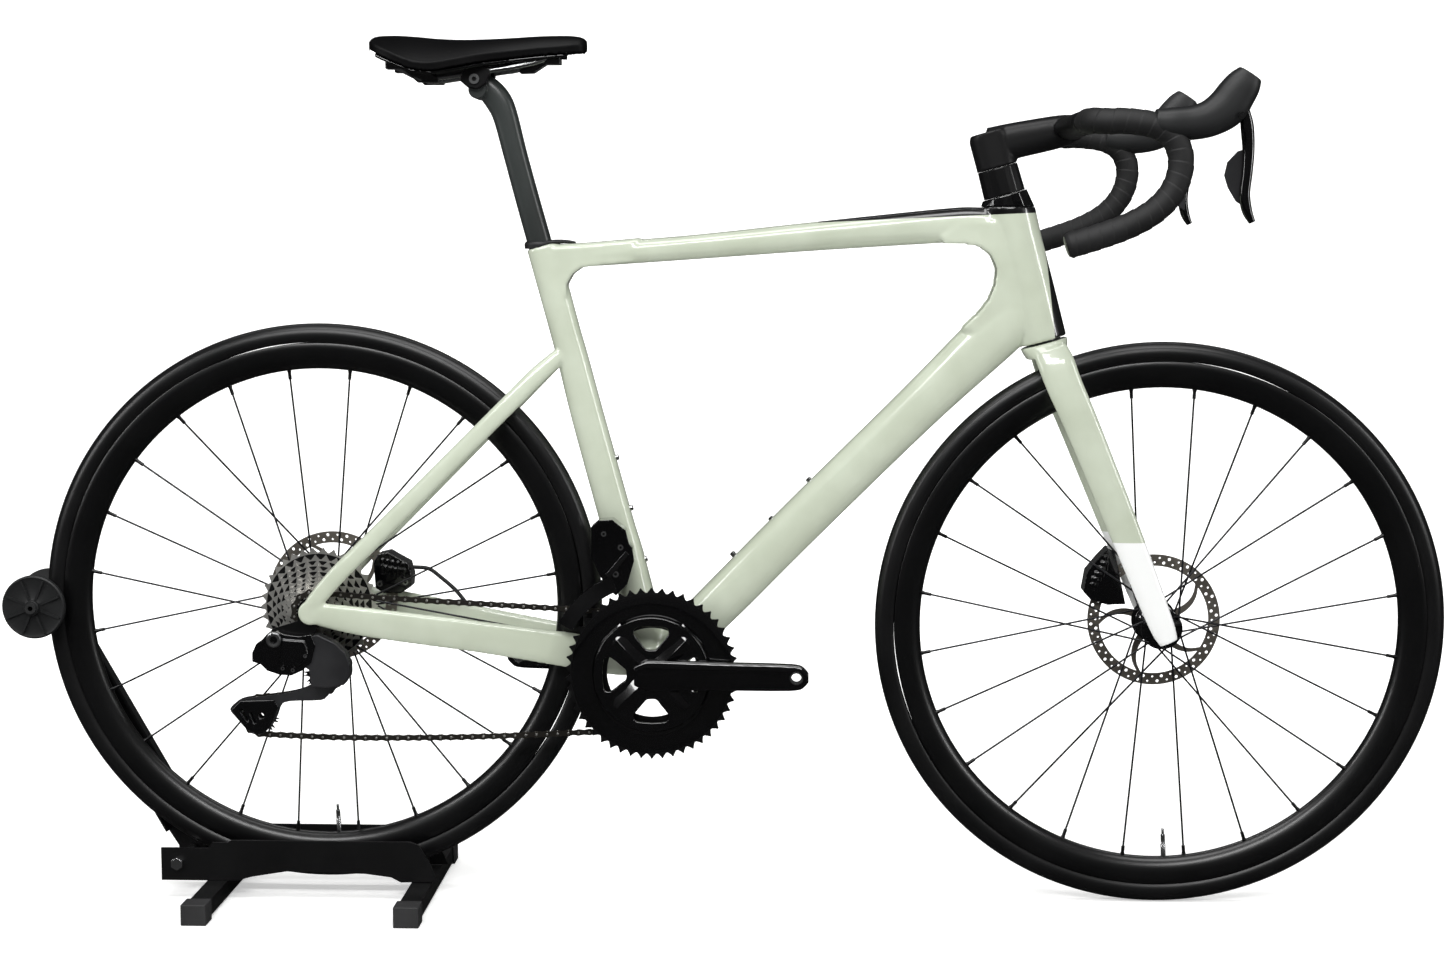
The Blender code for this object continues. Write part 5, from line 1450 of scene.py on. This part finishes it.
pad_mesh = moulded(as_object(saddle_arch(9)), 1.0, 24)
pad = settle("saddle_cushion", pad_mesh, body_of["saddle_pad"], saddle_cover,
             ("saddle_pad",), sharp=0)
soft_moulding("saddle_shell", gloss_black, 1.0, 6)
nose_strut = [
    (296, 1028), (290, 1019), (277.5, 1003), (262, 993), (246, 992.5), (246, 998.5), (256, 1001.5),
    (268, 1015), (272, 1026),
]
tail_panel = [
    (78, 1029), (88, 1019), (128, 981), (152, 981), (152, 987.5), (140, 993), (150, 1003), (140, 1012),
    (104, 1020),
]
panels = [plate(nose_strut, -8.5, 8.5)]
for sign in (-1, 1):
    rings = []
    for y_low in (20, 25):
        leans = [24 * min(1, max(0, (z - 984) / 40)) for _, z in tail_panel]
        rings.append([Vector((x, sign * (y_low + lean), z)) for (x, z), lean in zip(tail_panel, leans)])
    panels.append(skin(rings))
strut_mesh = moulded(as_object(gathered(panels)), 0.9, 8)
settle("saddle_struts", strut_mesh, body_of["saddle_shell"], gloss_black, sharp=0)

# %% [markdown]
# # Floor stand
# Two folded plates stand on two square tubes on the floor. An arm folds up behind the rear wheel and
# carries a roller that the tyre leans on. The steel is powder-coated: paint dust is sprayed on dry and
# baked, which leaves a fine pebble. Folded plate has no free shape to it, so the solids keep their faces
# here and only their edges are broken. The foot caps are moulded, with a rounder edge.

# %% Plates, tubes and arm
for node in ("stand_channel", "stand_arm", "stand_foot_tube_rear", "stand_foot_tube_front"):
    broken_edges(node, powder_black, 0.6)
broken_edges("stand_pivot_bolt", bright_steel, 0.5)
for end in ("rear", "front"):
    for side_name in ("left", "right"):
        broken_edges(f"stand_foot_cap_{end}_{side_name}", cap_plastic, 2.2)

# %% [markdown]
# ### Roller
# The roller is a moulded wheel: a thin rim, eight ribs and a hub, with a steel bolt through it.

# %% Roller
hub = [
    (4.3, -44), (8.4, -44), (9, -43.4), (9, -38), (12, -36.8), (33, -35.6), (36.5, -36.6), (38.2, -35.4),
    (38.5, -34.5), (38.5, -30.6), (37.6, -29.8), (30, -27.4), (12, -22), (6.3, -18), (6.3, 15), (12, 18),
    (30, 22.2), (37.6, 23.4), (38.5, 24.4), (38.5, 28), (38.2, 28.8), (36.5, 29.8), (33, 29), (9, 30),
    (9, 33), (4.3, 33),
]
ribs = [turned(hub, roller_axle, 96)]
for k in range(8):
    turn = 2 * math.pi * (k + 0.5) / 8
    out = Vector((math.cos(turn), 0, math.sin(turn)))
    across = SIDEWAYS.cross(out)
    corners = [(8, 1.6), (34.5, 1.0), (34.5, -1.0), (8, -1.6)]
    outline = [point(roller_axle) + out * a + across * b for a, b in corners]
    ribs.append(skin([[p + SIDEWAYS * y for p in outline] for y in (-38.6, -35.4)]))
drawn("ribbed_roller", gathered(ribs), "stand_roller", soft_rubber, sharp=35)
drawn("roller_bolt", socket_bolt(roller_axle, -44, -1, 6.5, 2.6), "stand_roller", bright_steel,
      replaces=False)

# %% [markdown]
# # Floor, light and camera
# A plain pale floor that sweeps up into a backdrop, as in a studio. A white floor would show as grey haze
# in every polished black part, so mirrored rays meet a darker paper. Seen directly it has a little glow
# of its own, which keeps it pale out to its edges, where the lamps don't reach.

# %% Floor and backdrop


def studio_floor():
    bm = bmesh.new()
    rows = []
    depth = [(-6.0, 0.0), (4.0, 0.0)]
    for i in range(13):
        turn = math.radians(90 * i / 12)
        depth.append((4.0 + 2.0 * math.sin(turn), 2.0 - 2.0 * math.cos(turn)))
    depth.append((6.0, 8.0))
    for y, z in depth:
        rows.append([bm.verts.new((x, y, z)) for x in (-9.0, 9.0)])
    for near, far in zip(rows, rows[1:]):
        bm.faces.new((near[0], near[1], far[1], far[0]))
    mesh = bpy.data.meshes.new("studio sweep")
    bm.to_mesh(mesh)
    bm.free()
    mesh.shade_smooth()
    made = bpy.data.objects.new("studio_sweep", mesh)
    bpy.context.scene.collection.objects.link(made)
    return made


paper = finish("matte white paper sweep", "#f4f4f3", "#f7f7f6", 0.85, 3.0, 0.0)
tree = paper.node_tree
seen = add(tree, "LightPath")
shaded = add(tree, "BsdfDiffuse", {"Color": linear("#343434")})
both = add(tree, "MixShader", {
    0: seen.outputs["Is Glossy Ray"], 1: tree.nodes["Principled BSDF"].outputs[0], 2: shaded.outputs[0],
})
glow = add(tree, "Emission", {"Color": linear("#ffffff"), "Strength": 0.42})
lit = add(tree, "AddShader", {0: tree.nodes["Principled BSDF"].outputs[0], 1: glow.outputs[0]})
pale = add(tree, "MixShader", {0: seen.outputs["Is Camera Ray"], 1: both.outputs[0], 2: lit.outputs[0]})
tree.links.new(pale.outputs[0], tree.nodes["Material Output"].inputs["Surface"])
floor = studio_floor()
floor.data.materials.append(paper)

# %% [markdown]
# ### Lamps
# Long soft boxes draw the straight bright lines that show the shape of polished black parts. One hangs
# overhead, one stands high in front, two narrow ones mark the ends of the bicycle, and one washes the
# backdrop. The room round them is dim, so that black stays black, and the camera sees white behind
# everything.

# %% Lamps and the room


def soft_box(name, place, aim, size, watts):
    """An area light at a place, turned towards a point, with its size in metres."""
    light = bpy.data.lights.new(name, "AREA")
    light.shape = "RECTANGLE"
    light.size, light.size_y = size
    light.energy = watts
    made = bpy.data.objects.new(name, light)
    made.location = place
    made.rotation_euler = (Vector(aim) - Vector(place)).to_track_quat("-Z", "Y").to_euler()
    bpy.context.scene.collection.objects.link(made)
    return made


center = (0, 0, 0.5)
soft_box("overhead box", (0.0, -0.9, 3.0), center, (3.0, 0.9), 46)
soft_box("high front box", (-0.4, -3.4, 3.0), center, (3.4, 0.7), 88)
soft_box("left strip", (-2.9, -1.6, 1.7), center, (0.35, 1.8), 26)
soft_box("right strip", (2.9, -1.4, 1.5), center, (0.35, 1.8), 22)
soft_box("back wash", (0.0, 1.6, 3.4), (0, 4.6, 1.4), (5.0, 1.0), 250)

world = bpy.data.worlds.new("dim room behind a white screen")
bpy.context.scene.world = world
world.use_nodes = True
room = world.node_tree
looking = add(room, "LightPath")
screen = add(room, "Background", {"Color": (1, 1, 1, 1), "Strength": 1.0})
dim = add(room, "Background", {"Color": (1, 1, 1, 1), "Strength": 0.05})
around = add(room, "MixShader", {
    0: looking.outputs["Is Camera Ray"], 1: dim.outputs[0], 2: screen.outputs[0],
})
room.links.new(around.outputs[0], room.nodes["World Output"].inputs["Surface"])

# %% [markdown]
# ### Camera
# The view is from the drive side, a little above the axles and slightly turned, with a short telephoto
# lens that keeps the wheels round.

# %% Camera
eye = bpy.data.cameras.new("main view")
eye.lens = 56.21
eye.sensor_width = 36
camera = bpy.data.objects.new("main_view", eye)
camera.location = (0.108195, -2.68984, 0.80444)
camera.rotation_euler = (math.pi / 2 - 0.10965, 0, 0.0388)
bpy.context.scene.collection.objects.link(camera)
bpy.context.scene.camera = camera
bpy.context.scene.view_settings.view_transform = "Standard"
